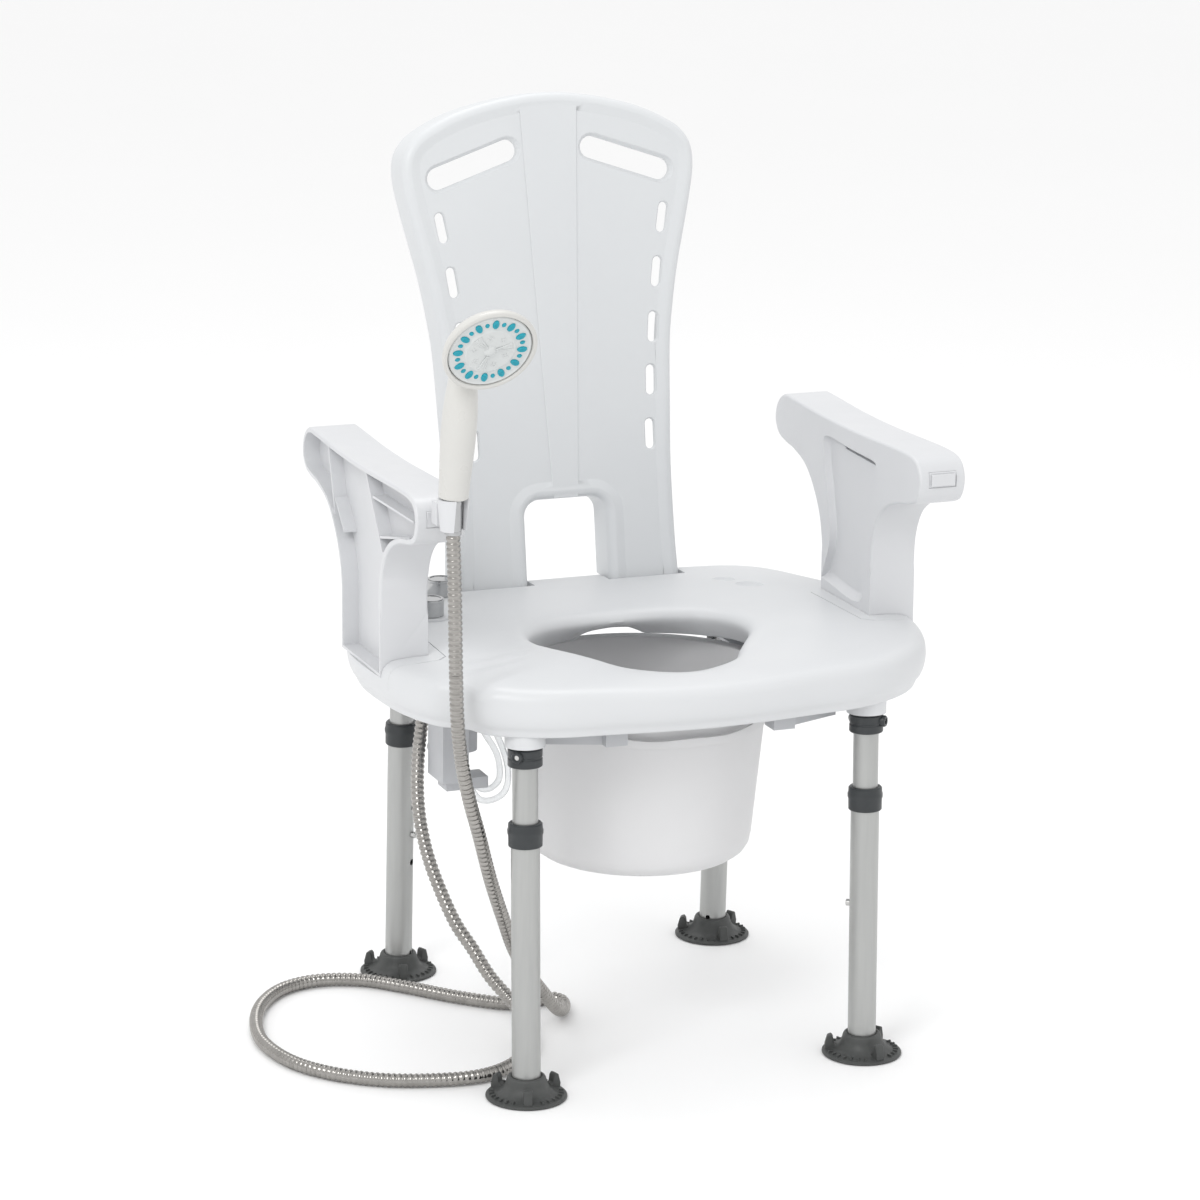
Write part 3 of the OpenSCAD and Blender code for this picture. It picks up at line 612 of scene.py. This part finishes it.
def seatFittings(seat):
    added, cut = [], []
    for name, sx, sy in corners:
        added.append(rod("socket", 20, 358, 414, legPlace(sx, sy), 48))
        cut.append(rod("socketBore", 12.8, 350, 405, legPlace(sx, sy), 48))
    for side in (1, -1):
        turn = Matrix.Scale(side, 4, (1, 0, 0))
        for low, high in (((234, -68, 397), (279, 64, 415)), ((38, 160, 398), (130, 201, 417))):
            added.append(block("pad", low, high, turn))
        for y in (-110, 0, 110):
            added.append(rod("post", 6, 407, 416, moveTo(side * 155, y, 0)))
        seam = [(222, 44), (226, -72), (236, -82), (262, -85), (300, -74)]  # the line round the arm's foot
        outer = [(x - 0.8, y - 0.6) for x, y in seam]
        cut.append(outlineBlock("pocketSeam", seam + outer[::-1], 45, turn @ moveTo(0, 0, 395)))
        for low, high in (((239.6, -62.4, 404), (320, 58.4, 444)), ((248.6, -40.4, 390), (273.4, 36.4, 410)),
                          ((42, 162.5, 417.6), (129, 222, 447)), ((55.6, 170.6, 390), (114.4, 187.4, 430))):
            cut.append(block("pocket", low, high, turn))
    added.append(outlineBlock("plateBed", capsule(knobFront, knobRear, 24), 9, moveTo(0, 0, 409)))
    cut.append(outlineBlock("plateRecess", capsule(knobFront, knobRear, 20.2, 14), 20, moveTo(0, 0, 420)))
    for at in (knobFront, knobRear):
        cut.append(rod("spindleHole", 4.6, 400, 430, moveTo(at[0], at[1], 0)))
    for tool in added + cut:
        if tool.data.polygons and tool.name.startswith(("pad", "pocket")):
            openEdit(tool)
            closeEdit(tool)  # a mirrored block gets its faces outwards again
    carve(seat, added, "UNION")
    carve(seat, cut)
    for x, y, reach, z in ((157, 123, 18, 428.4), (174, 95, 22, 429.6)):  # two shallow oval dimples
        clearSelection()
        bpy.ops.mesh.primitive_uv_sphere_add(segments=40, ring_count=24, radius=reach / 1800)
        dimple = bpy.context.object
        dimple.data.transform(moveTo(x, y, z) @ turnBy(-30, "Z") @ Matrix.Diagonal((1.5, 0.9, 1, 1)))
        carve(seat, [dimple])
    smoothShade(seat, 40)
    return seat


seat = settle(seatFittings(makeSeat()), "frame", shellWhite, ["seat_shell"])
print("seat ready", len(seat.data.polygons))

# ---- backrest, modelled flat and then leaned back
backShape = {"depth": 41, "wall": 4.5, "rim": 10.5, "ramp": 8, "dish": 2.4, "archHalf": 46, "archTop": 92,
             "slotLeft": (47, 459), "slotRight": (124, 433)}
backPlace = moveTo(0, 168, 418) @ turnBy(80.9, "X")
backHalf = [(126, -60), (126, 0), (124, 45), (123, 120), (125, 180), (128, 250), (133, 290), (140, 330),
            (149, 368), (157, 402), (162.5, 432), (161.5, 455), (153, 471), (137, 484), (103, 500),
            (62, 511), (22, 517), (0, 518)]


def backOutline():
    right = [tuple(p) for p in smoothCurve(backHalf, 4)]
    left = [(-x, y) for x, y in reversed(right[:-1])]
    half, top, bend = backShape["archHalf"], backShape["archTop"], 17
    corner = [(half - bend + bend * math.sin(math.radians(a)), top - bend + bend * math.cos(math.radians(a)))
              for a in range(0, 91, 15)]
    arch = [(-x, y) for x, y in reversed(corner)] + corner
    return right + left + [(-half, -60)] + arch + [(half, -60)]


def slotCutter(name, a, b, radius, lip, front, rear):  # a slot with a rounded mouth at the front
    sections = []
    for k in range(6):
        angle = math.radians(90 * k / 5)
        sections.append((front + 0.4 - (lip + 0.4) * math.sin(angle), radius + lip * (1 - math.sin(angle))))
    levels = [(front + 12, radius + lip)] + sections + [(rear, radius)]
    return lofted(name, [[(x, y, z) for x, y in capsule(a, b, r, 9)] for z, r in levels])


def makeBack():
    s = backShape
    back = outlineBlock("backrestPanel", backOutline(), -s["depth"])
    depth = s["depth"] / 1000
    openEdit(back)
    pick(back, "EDGE", lambda e: all(v.co.z > -0.0001 for v in e.verts))  # the front rim is rolled
    bpy.ops.mesh.bevel(offset=0.0085, offset_type="OFFSET", segments=6, profile=0.5, clamp_overlap=True)
    pick(back, "FACE", lambda f: f.normal.z > 0.9999 and f.calc_center_median().z > -0.001)
    bpy.ops.mesh.inset(thickness=(s["rim"] - 9) / 1000, use_even_offset=True)
    bpy.ops.mesh.inset(thickness=s["ramp"] / 1000, depth=-s["dish"] / 1000, use_even_offset=True)
    bpy.ops.mesh.inset(thickness=0.001, use_even_offset=True)
    pick(back, "FACE", lambda f: f.normal.z < -0.99 and f.calc_center_median().z < -depth + 0.001)
    bpy.ops.mesh.inset(thickness=s["wall"] / 1000, use_even_offset=True)
    bpy.ops.mesh.extrude_region_move(
        TRANSFORM_OT_translate={"value": (0, 0, depth - (s["dish"] + s["wall"]) / 1000)})
    closeEdit(back)
    walls, cuts = [], []
    for side in (1, -1):
        a = (side * s["slotLeft"][0], s["slotLeft"][1])
        b = (side * s["slotRight"][0], s["slotRight"][1])
        walls.append(outlineBlock("slotWall", capsule(a, b, 14.5), -8, moveTo(0, 0, -4.6)))
        cuts.append(slotCutter("handSlot", a, b, 11.6, 4.2, -s["dish"], -60))
        for x, y, lean in ((99, 154, 0), (102.5, 211, -2), (107.5, 267, -5), (114.5, 325, -8), (123.5, 382, -10)):
            tilt = math.radians(lean)
            up = Vector((-math.sin(tilt), math.cos(tilt))) * 11
            ends = [(side * (x + d * up.x), y + d * up.y) for d in (-1, 1)]
            cuts.append(slotCutter("drainSlot", ends[0], ends[1], 5, 1.6, -s["dish"], -20))
        walls.append(block("rib", (side * 24 - 2, 96, -30), (side * 24 + 2, 508, -6)))
        walls.append(block("rib", (side * 78 - 2, -20, -26), (side * 78 + 2, 420, -6)))
    for y in (120, 235, 350):
        walls.append(block("rib", (-121, y - 1.8, -22), (121, y + 1.8, -6)))
    carve(back, walls, "UNION")
    spine = outlineBlock("spine", [(14, 93), (32, 506), (29, 509), (-29, 509), (-32, 506), (-14, 93)], 4.9,
                         moveTo(0, 0, -6))
    softenEdges(spine, 0.0009, 3, 30)
    carve(back, [spine], "UNION")
    carve(back, cuts)
    back.data.transform(backPlace)
    carve(back, [block("below", (-300, -100, 200), (300, 500, 418))])
    tangs = [block("tang", (min(side * 56, side * 114), 171, 384), (max(side * 56, side * 114), 187, 420.6))
             for side in (1, -1)]
    carve(back, tangs, "UNION")
    smoothShade(back, 38)
    return back


back = settle(makeBack(), "backrest", panelWhite, ["backrest_panel"])
print("backrest ready", len(back.data.polygons))

# ---- arms, modelled on the right and mirrored to the left
armShape = {"inner": 240, "width": 50, "base": 404.4}
armSide = [(-62, 0), (-61, 60), (-63, 96), (-74, 122), (-92, 138), (-118, 148), (-146, 153.5), (-163, 161),
           (-170, 177), (-167, 192), (-154, 202), (-124, 204.6), (-60, 203), (0, 201.5), (70, 202),
           (140, 205), (166, 204.5), (182, 193), (187, 175), (178, 160), (160, 154), (136, 150),
           (106, 139), (82, 116), (66, 88), (58.6, 55), (58, 0)]
recessSide = [(58, 30), (-36, 26), (-34, 70), (-41, 112), (-64, 146), (-70, 158), (-67, 173), (-58, 180),
              (0, 181), (48, 183), (62, 176), (58, 150), (48, 118), (40, 74)]


def sideways(x):  # a flat outline of (y, height) stands up across the chair at x
    return Matrix(((0, 0, 1, x / 1000), (1, 0, 0, 0), (0, 1, 0, armShape["base"] / 1000), (0, 0, 0, 1)))


def shrunk(points, share, centre):
    return [(centre[0] + (x - centre[0]) * share, centre[1] + (y - centre[1]) * share) for x, y in points]


def makeArm():
    s = armShape
    outline = [tuple(p) for p in smoothCurve(armSide[1:-1], 4)]
    outline = [armSide[0]] + outline + [armSide[-1]]
    arm = outlineBlock("armRight", outline, s["width"])
    openEdit(arm)
    pick(arm, "EDGE", lambda e: all(v.co.z < 0.0001 and v.co.y > 0.02 for v in e.verts))
    bpy.ops.mesh.bevel(offset=0.007, offset_type="OFFSET", segments=6, profile=0.5, clamp_overlap=True)
    pick(arm, "EDGE", lambda e: all(v.co.z > 0.0499 and v.co.y > 0.02 for v in e.verts))
    bpy.ops.mesh.bevel(offset=0.0022, offset_type="OFFSET", segments=3, profile=0.5, clamp_overlap=True)
    pick(arm, "FACE", lambda f: f.normal.z > 0.9999 and f.calc_center_median().z > 0.049)
    bpy.ops.mesh.inset(thickness=0.003, use_even_offset=True)
    bpy.ops.mesh.extrude_region_move(TRANSFORM_OT_translate={"value": (0, 0, -0.017)})
    closeEdit(arm)
    arm.data.transform(sideways(s["inner"]))
    ribs = []
    for line in ([(-4, 198), (-8, 198), (-60, 126), (-56, 126)], [(-30, 174), (-152, 176), (-152, 178), (-30, 176.4)],
                 [(112, 198), (109, 198), (84, 120), (87, 120)], [(60, 118), (88, 146), (88, 148), (60, 120.4)],
                 [(-52, 138), (-140, 157), (-140, 159), (-52, 140.4)]):
        ribs.append(outlineBlock("rib", line, 17, sideways(s["inner"] + 30)))
    carve(arm, ribs, "UNION")
    depths = [(-3, 1.03), (0.5, 1.0), (4, 0.965), (6.6, 0.93), (7.6, 0.90)]
    dent = lofted("innerDent", [[(x, y, z) for x, y in shrunk([tuple(p) for p in smoothCurve(recessSide + recessSide[:1], 4)[:-1]], share, (0, 110))]
                                for z, share in depths])
    dent.data.transform(sideways(s["inner"]))
    slit = outlineBlock("slit", [(-56, 172.5), (22, 175), (22, 179.5), (-56, 177)], 10, sideways(s["inner"] + 3))
    carve(arm, [dent, slit])
    carve(arm, [block("capPocket", (250, -175, 579), (280, -157, 595))])
    tang = block("tang", (249, -40, 376), (273, 36, 408))
    carve(arm, [tang], "UNION")
    smoothShade(arm, 38)
    return arm


armRight = makeArm()
armLeft = copyOf(armRight, "armLeft", mirrorX)
settle(armRight, "arm_right", armWhite, ["armrest_right"])
settle(armLeft, "arm_left", armWhite, ["armrest_left"])
print("arms ready", len(armRight.data.polygons))


# ---- CAD nodes whose shape is right get merged copies with softened edges
def softCopy(node, name, width, segments=2, angle=40):
    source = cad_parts[node]
    made = bpy.data.objects.new(name, source.data.copy())
    bpy.context.scene.collection.objects.link(made)
    openEdit(made)
    bpy.ops.mesh.select_all(action="SELECT")
    bpy.ops.mesh.remove_doubles(threshold=0.00001)
    bpy.ops.mesh.dissolve_limited(angle_limit=math.radians(0.5), delimit={"NORMAL"})
    bpy.ops.object.mode_set(mode="OBJECT")
    if made.data.has_custom_normals:
        workOn(made)
        bpy.ops.mesh.customdata_custom_splitnormals_clear()
    softenEdges(made, width / 1000, segments, angle, 40)
    return made


softCopies = [  # node, piece, body, finish, slot, edge radius
    ("handset_holder", "handsetHolder", "arm_left", armWhite, "holder_white", 1.2),
    ("pail_rail_left", "pailRailLeft", "frame", railGrey, "rail_white", 0.8),
    ("pail_rail_right", "pailRailRight", "frame", railGrey, "rail_white", 0.8),
    ("valve_body", "valveBody", "frame", railGrey, "rail_white", 1.4),
    ("valve_plate", "valvePlate", "frame", shellWhite, "rail_white", 1.0),
    ("bidet_nozzle", "bidetNozzle", "frame", nozzleGrey, "nozzle_grey", 0.8),
    ("hose_nut_valve", "hoseNutValve", "frame", chrome, "chrome", 0.8),
]
for node, name, body, paint, slot, width in softCopies:
    settle(softCopy(node, name, width), body, paint, [node])
capRight = block("armCapRight", (250.2, -169.6, 579.2), (279.8, -157.2, 594.8))
softenEdges(capRight, 0.0008)
capLeft = copyOf(capRight, "armCapLeft", mirrorX)
cover = block("accessoryCover", (252, -172.4, 581), (278, -169.8, 593))
softenEdges(cover, 0.0006)
settle(capRight, "arm_right", armWhite, ["arm_cap_right"])
settle(capLeft, "arm_left", armWhite, ["arm_cap_left"])
settle(cover, "arm_right", armWhite, ["accessory_cover"])
print("small parts ready")

# ---- legs: tubes, pins and buttons keep their CAD shape
for name, sx, sy in corners:
    for node, paint in (("leg_upper_tube_", tubeAluminium), ("leg_lower_tube_", tubeAluminium),
                        ("leg_pin_", pinSteel), ("leg_button_", pinSteel)):
        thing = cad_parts[node + name]
        thing.data.materials.clear()
        thing.data.materials.append(paint)
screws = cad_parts["rail_screws"]
screws.data.materials.clear()
screws.data.materials.append(pinSteel)

collarShape = {"lower": 257, "height": 24, "outer": 16.9, "lip": 17.5, "clipLow": 338, "clipHigh": 356}


def makeCollar(turn, name):
    s = collarShape
    profile = [(14.32, 257), (16.2, 257), (16.9, 257.8), (17.0, 268.5), (17.7, 270.2), (17.8, 273.6),
               (17.1, 275.2), (16.9, 279.6), (15.6, 281), (13.0, 281), (12.8, 280.4), (12.8, 277.9), (14.32, 277.9)]
    collar = spun(name, profile, 56, turn, closed=True)
    smoothShade(collar, 34)
    return collar


def makeClip(turn, name, sx, sy):
    facing = turnBy(math.degrees(math.atan2(-sy, -sx)), "Z")
    profile = [(12.8, 338), (16.4, 338), (17.1, 338.8), (17.1, 345.6), (16.5, 346.3), (16.5, 347.7),
               (17.1, 348.4), (17.1, 355.2), (16.4, 356), (12.8, 356)]
    clip = spun(name, profile, 56, None, closed=True)
    clip.data.transform(facing)
    mouth = block("mouth", (5, -5, 330), (40, 5, 366), facing)
    carve(clip, [mouth])
    boss = spun("boss", [(0, 9), (5.2, 9), (5.8, 14), (5.8, 19.8), (5.0, 21), (3.2, 21), (2.9, 20.2), (0, 20.2)], 32,
                facing @ moveTo(0, 0, 350) @ turnBy(-90, "Y"))
    carve(clip, [boss], "UNION")
    hole = rod("pinHole", 2.53, -22, 8, facing @ moveTo(0, 0, 350) @ turnBy(90, "Y"))
    bore = rod("tubeBore", 12.8, 330, 362, None, 56)
    carve(clip, [hole, bore])
    clip.data.transform(turn)
    smoothShade(clip, 34)
    return clip


footShape = {"reach": 40.5, "hub": 19.6, "top": 21.5, "tabs": 3, "ribs": 30}


def makeFoot(name, sx, sy, firstTab):
    s = footShape
    profile = [(0, 4.2), (24, 3.2), (37, 0.4), (39.4, 0), (40.5, 0.5), (40.5, 1.9), (39.6, 2.8), (37, 3.6),
               (32, 4.6), (27.5, 6.2), (24, 8.8), (21.6, 12.4), (20.2, 16.4), (19.4, 19.6), (18.4, 21.4), (17, 21.9),
               (14.34, 21.9), (14.34, 9.9), (0, 9.9)]
    foot = spun(name, profile, 72)
    fins = []
    for k in range(s["tabs"]):
        spin = turnBy(firstTab + 120 * k, "Z")
        fin = outlineBlock("fin", [(24, 6), (37.4, 2.4), (37.9, 8), (35.4, 17.4), (31.4, 19), (29.4, 16), (28.6, 10)],
                           9, spin @ moveTo(0, 4.5, 0) @ turnBy(90, "X"))
        softenEdges(fin, 0.0011, 3, 30)
        fins.append(fin)
    for k in range(s["ribs"]):  # small plain ribs round the flange
        angle = 360 * k / s["ribs"]
        if min(abs((angle - firstTab) % 120), 120 - abs((angle - firstTab) % 120)) < 15:
            continue
        fins.append(block("ridge", (32.4, -0.8, 2), (37, 0.8, 5.4 + 0.6), turnBy(angle, "Z")))
    carve(foot, fins[:s["tabs"]], "UNION")
    foot = join([foot] + fins[s["tabs"]:], name)
    foot.data.transform(moveTo(sx * 182.5, sy * 194.6, 0))
    smoothShade(foot, 34)
    return foot


for name, sx, sy in corners:
    turn = legPlace(sx, sy)
    settle(makeCollar(turn, "collar" + name.upper()), "leg_" + name, darkPlastic,
           ["leg_collar_" + name])
    settle(makeClip(turn, "clip" + name.upper(), sx, sy), "frame", darkPlastic,
           ["leg_clip_" + name])
    firstTab = {"fl": 12, "fr": 36, "rl": 20, "rr": 28}[name]
    settle(makeFoot("foot" + name.upper(), sx, sy, firstTab), "leg_" + name, footRubber,
           ["foot_" + name])
print("legs ready")

# ---- pail and its bail
pailShape = {"middleY": -30, "floor": 182, "top": 378, "bailZ": 358}


def makePail():
    profile = [(0, 187), (84, 187), (95, 188.2), (104, 191.2), (110.5, 196), (114.2, 202.5), (115.8, 211),
               (131, 371), (132.5, 373.4), (142, 374), (145.2, 374.6), (146, 376), (145.2, 377.4), (142, 378),
               (130, 378), (128.6, 377), (128.3, 374), (113.2, 211), (111.4, 204), (107, 198.6), (101, 194.6),
               (93.5, 191.8), (84, 190.4), (0, 190.4)]
    pail = spun("pail", profile, 96, moveTo(0, pailShape["middleY"], 0))
    bosses = []
    for side in (1, -1):
        boss = spun("boss", [(0, 0), (7.4, 0), (7.4, 9.4), (6.4, 10.4), (0, 10.4)], 32,
                    moveTo(side * 125, pailShape["middleY"], pailShape["bailZ"]) @ turnBy(side * 90, "Y"))
        bosses.append(boss)
    carve(pail, bosses, "UNION")
    smoothShade(pail, 34)
    return pail


def makeBail():
    sections = []
    steps = 56
    for k in range(steps + 1):
        angle = math.radians(180 * k / steps)
        out = Vector((math.cos(angle), -math.sin(angle), 0))
        front = math.sin(angle)
        wave = 1.6 * math.sin(angle * 9) * front ** 3
        low, high = -5.4 + wave * 0.5, 4.6 + wave - 1.2 * front
        ring = []
        for r, h in ((136.6, low + 0.6), (137.1, low), (138.9, low), (139.4, low + 0.6), (139.4, high - 0.6),
                     (138.9, high), (137.1, high), (136.6, high - 0.6)):
            ring.append(tuple(out * (r + 0.35 * wave) + Vector((0, 0, h))))
        sections.append(ring)
    bail = lofted("pailBail", sections)
    pivots = []
    for side in (1, -1):
        pivots.append(spun("pivot", [(0, 0), (2, 0), (2, 9), (4.6, 9), (4.9, 9.6), (4.4, 11), (0, 11)], 24,
                           moveTo(side * 129, 0, 0) @ turnBy(side * 90, "Y")))
    carve(bail, pivots, "UNION")
    bail.data.transform(moveTo(0, pailShape["middleY"], pailShape["bailZ"]) @ turnBy(8, "X"))
    smoothShade(bail, 40)
    return bail


settle(makePail(), "pail_body", pailWhite, ["pail"])
settle(makeBail(), "bail", pailWhite, ["pail_bail"])
print("pail ready")

# ---- knobs
knobShape = {"radius": 14, "height": 17, "flutes": 36, "base": 425.4}


def makeKnob(name, at):
    s = knobShape
    clearSelection()
    bpy.ops.mesh.primitive_cylinder_add(vertices=s["flutes"] * 4, radius=s["radius"] / 1000, depth=s["height"] / 1000,
                                        location=(0, 0, 0))
    knob = bpy.context.object
    knob.name = name
    bpy.ops.object.transform_apply(location=True, rotation=True, scale=True)
    openEdit(knob)
    pick(knob, "FACE", lambda f: abs(f.normal.z) < 0.5)
    bpy.ops.mesh.select_all(action="DESELECT")
    pick(knob, "FACE", lambda f: f.normal.z > 0.9)
    bpy.ops.mesh.inset(thickness=0.0012)
    bpy.ops.mesh.extrude_region_move(TRANSFORM_OT_translate={"value": (0, 0, 0.0008)})
    bpy.ops.mesh.inset(thickness=0.0018)
    bpy.ops.mesh.extrude_region_move(TRANSFORM_OT_translate={"value": (0, 0, -0.0007)})
    bpy.ops.mesh.inset(thickness=0.0005)
    closeEdit(knob)
    rim = s["radius"] / 1000 - 0.0002
    half = s["height"] / 2000
    sideVerts = [v for v in knob.data.vertices if v.co.xy.length > rim]
    openEdit(knob)
    closeEdit(knob, False)
    band = spun("band", [(0, -6.2), (13.35, -6.2), (13.35, 6.4), (0, 6.4)], 36)
    bpy.data.objects.remove(band)
    for vertex in sideVerts:  # flutes between two plain rims
        flat = vertex.co.xy
        turnHere = math.atan2(flat.y, flat.x) / (2 * math.pi) * s["flutes"]
        if (turnHere % 1) > 0.45 and (turnHere % 1) < 0.8 and abs(vertex.co.z) < half + 0.0001:
            vertex.co.x *= 0.952
            vertex.co.y *= 0.952
    knob.data.transform(moveTo(at[0], at[1], s["base"] + s["height"] / 2))
    collar = spun("knobRim", [(0, 0), (14.0, 0), (14.2, 0.4), (14.2, 2.0), (13.8, 2.5), (0, 2.5)], 72,
                  moveTo(at[0], at[1], s["base"] + 14.4))
    foot = spun("knobFoot", [(0, 0), (13.6, 0), (14.0, 0.4), (14.0, 1.6), (13.4, 2.0), (0, 2.0)], 72,
                moveTo(at[0], at[1], s["base"] + 0.0))
    stem = rod("stem", 4, 383.4, s["base"] + 2, moveTo(at[0], at[1], 0), 32)
    knob = join([knob, collar, foot, stem], name)
    smoothShade(knob, 30)
    return knob


settle(makeKnob("knobFront", knobFront), "knob_front_body", chrome, ["knob_front"])
settle(makeKnob("knobRear", knobRear), "knob_rear_body", chrome, ["knob_rear"])
print("knobs ready")

# ---- hand shower
handShape = {"foot": (-264, -200, 614.5), "face": (-251, -262, 767), "faceTurn": 119}
facePlace = moveTo(*handShape["face"]) @ turnBy(handShape["faceTurn"], "X")


def makeHandset():
    lean = moveTo(*handShape["foot"]) @ turnBy(6, "X") @ turnBy(2.2, "Y")
    stations = [(0.4, 13.4), (1.2, 14.4), (8, 14.7), (24, 15.4), (46, 16.5), (66, 17.0), (84, 16.7), (100, 15.6),
                (114, 14.0), (126, 12.8)]
    sections, sides = [], 40
    for height, radius in stations:
        ring = []
        for k in range(sides):
            angle = 2 * math.pi * k / sides
            point = lean @ Vector((radius * math.cos(angle) / 1000, radius * 0.97 * math.sin(angle) / 1000, height / 1000))
            ring.append(tuple(point * 1000))
        sections.append(ring)
    last = sections[-1]
    ends = []
    for k in range(sides):  # the neck flares into the back of the head
        angle = 2 * math.pi * k / sides
        ends.append(facePlace @ Vector((24 * math.cos(angle) / 1000, -24 * math.sin(angle) / 1000, -0.0175)) * 1000)
    start = min(range(sides), key=lambda k: sum((ends[(k + j) % sides] - Vector(last[j])).length for j in range(0, sides, 4)))
    ends = ends[start:] + ends[:start]
    reverse = [ends[-k % sides] for k in range(sides)]
    startR = min(range(sides), key=lambda k: sum((reverse[(k + j) % sides] - Vector(last[j])).length for j in range(0, sides, 4)))
    reverse = reverse[startR:] + reverse[:startR]
    if sum((reverse[j] - Vector(last[j])).length for j in range(sides)) < sum((ends[j] - Vector(last[j])).length for j in range(sides)):
        ends = reverse
    for share in (0.2, 0.4, 0.6, 0.8, 1.0):
        bend = share * share * (3 - 2 * share)
        sections.append([tuple(Vector(last[j]).lerp(ends[j], bend) + Vector((0, 7, 9)) * math.sin(math.pi * share) * 0.6)
                         for j in range(sides)])
    body = lofted("handsetBody", sections)
    head = spun("head", [(0, -19.4), (14, -19.2), (24, -18), (33, -15.2), (39.6, -11), (43.6, -6.6), (45.6, -2.4),
                         (46, 0.4), (45.6, 1.8), (44.2, 2.6), (42, 2.4), (41.2, 1.4), (41, -3.4), (0, -3.4)], 96, facePlace)
    carve(head, [body], "UNION")
    head.name = "handsetBody"
    smoothShade(head, 40)
    return head


def makeSprayFace():
    plate = spun("sprayFace", [(0, -3.3), (40.4, -3.3), (40.6, -2), (40.4, 0.6), (39.2, 1.5), (37.6, 1.3), (36.4, 0.6),
                               (26.6, 0.5), (25.2, 0.9), (24, 1.7), (23, 1.9), (22, 1.5), (6.2, 1.1), (5.2, 2.2),
                               (4.0, 3.1), (0, 3.4)], 96)
    petals = []
    for k in range(3):
        spin = turnBy(15 + 120 * k, "Z")
        petals.append(outlineBlock("petal", [(6, -0.7), (21.4, -4.6), (22, -3.8), (22, 3.8), (21.4, 4.6), (6, 0.7)], 0.9,
                                   spin @ moveTo(0, 0, 1.0)))
        for j in range(-1, 2):
            petals.append(rod("ray", 0.6, 5.5, 21.5, spin @ turnBy(j * 9, "Z") @ moveTo(0, 0, 1.9) @ turnBy(90, "Y"), 10))
    for k in range(6):  # groups of small outlets between the rays
        spin = turnBy(15 + 36 + 60 * (k // 2 * 2) + 48 * (k % 2), "Z")
        for x, y in ((14.4, 0), (16.6, 1.9), (16.6, -1.9), (18.8, 0.2)):
            petals.append(rod("outlet", 0.62, 1.0, 2.1, spin @ moveTo(x, y, 0), 10))
    plate = join([plate] + petals, "sprayFace")
    spindle = rod("spindle", 3, -14, -3, None, 24)
    plate = join([plate, spindle], "sprayFace")
    plate.data.transform(facePlace)
    smoothShade(plate, 34)
    return plate


def makeJets():
    jets = []
    for k in range(12):
        spin = turnBy(k * 30, "Z")
        large = spun("largeJet", [(0, 0), (2.5, 0), (2.6, 0.8), (2.3, 1.7), (1.5, 2.0), (1.1, 1.5), (0, 1.4)], 20)
        large.data.transform(spin @ moveTo(31.5, 0, 0) @ Matrix.Diagonal((1.95, 1.25, 1.1, 1)))
        small = spun("smallJet", [(0, 0), (1.7, 0), (1.75, 0.7), (1.3, 1.5), (0, 1.7)], 16)
        small.data.transform(spin @ turnBy(15, "Z") @ moveTo(31.5, 0, 0) @ Matrix.Diagonal((1.5, 1.25, 1, 1)))
        jets += [large, small]
    jets = join(jets, "sprayJets")
    jets.data.transform(facePlace)
    smoothShade(jets, 40)
    return jets


settle(makeHandset(), "handset", handsetWhite, ["handset_body"])
settle(makeSprayFace(), "spray", facePale, ["spray_face"])
settle(makeJets(), "spray", jetTeal, ["spray_jets"])
nutProfile = [(7.3, 579), (7.9, 579), (8.2, 579.6), (8.2, 582.4), (8.0, 583), (8.35, 584), (9.05, 609), (9.4, 609.6),
              (9.4, 612.6), (9.0, 613.6), (7.0, 613.8), (6.2, 613.8), (6.2, 585), (7.3, 584)]
nut = spun("hoseNutHandset", nutProfile, 64, moveTo(-264, -200, 0), closed=True)
smoothShade(nut, 32)
settle(nut, "handset", chrome, ["hose_nut_handset"])
print("hand shower ready")
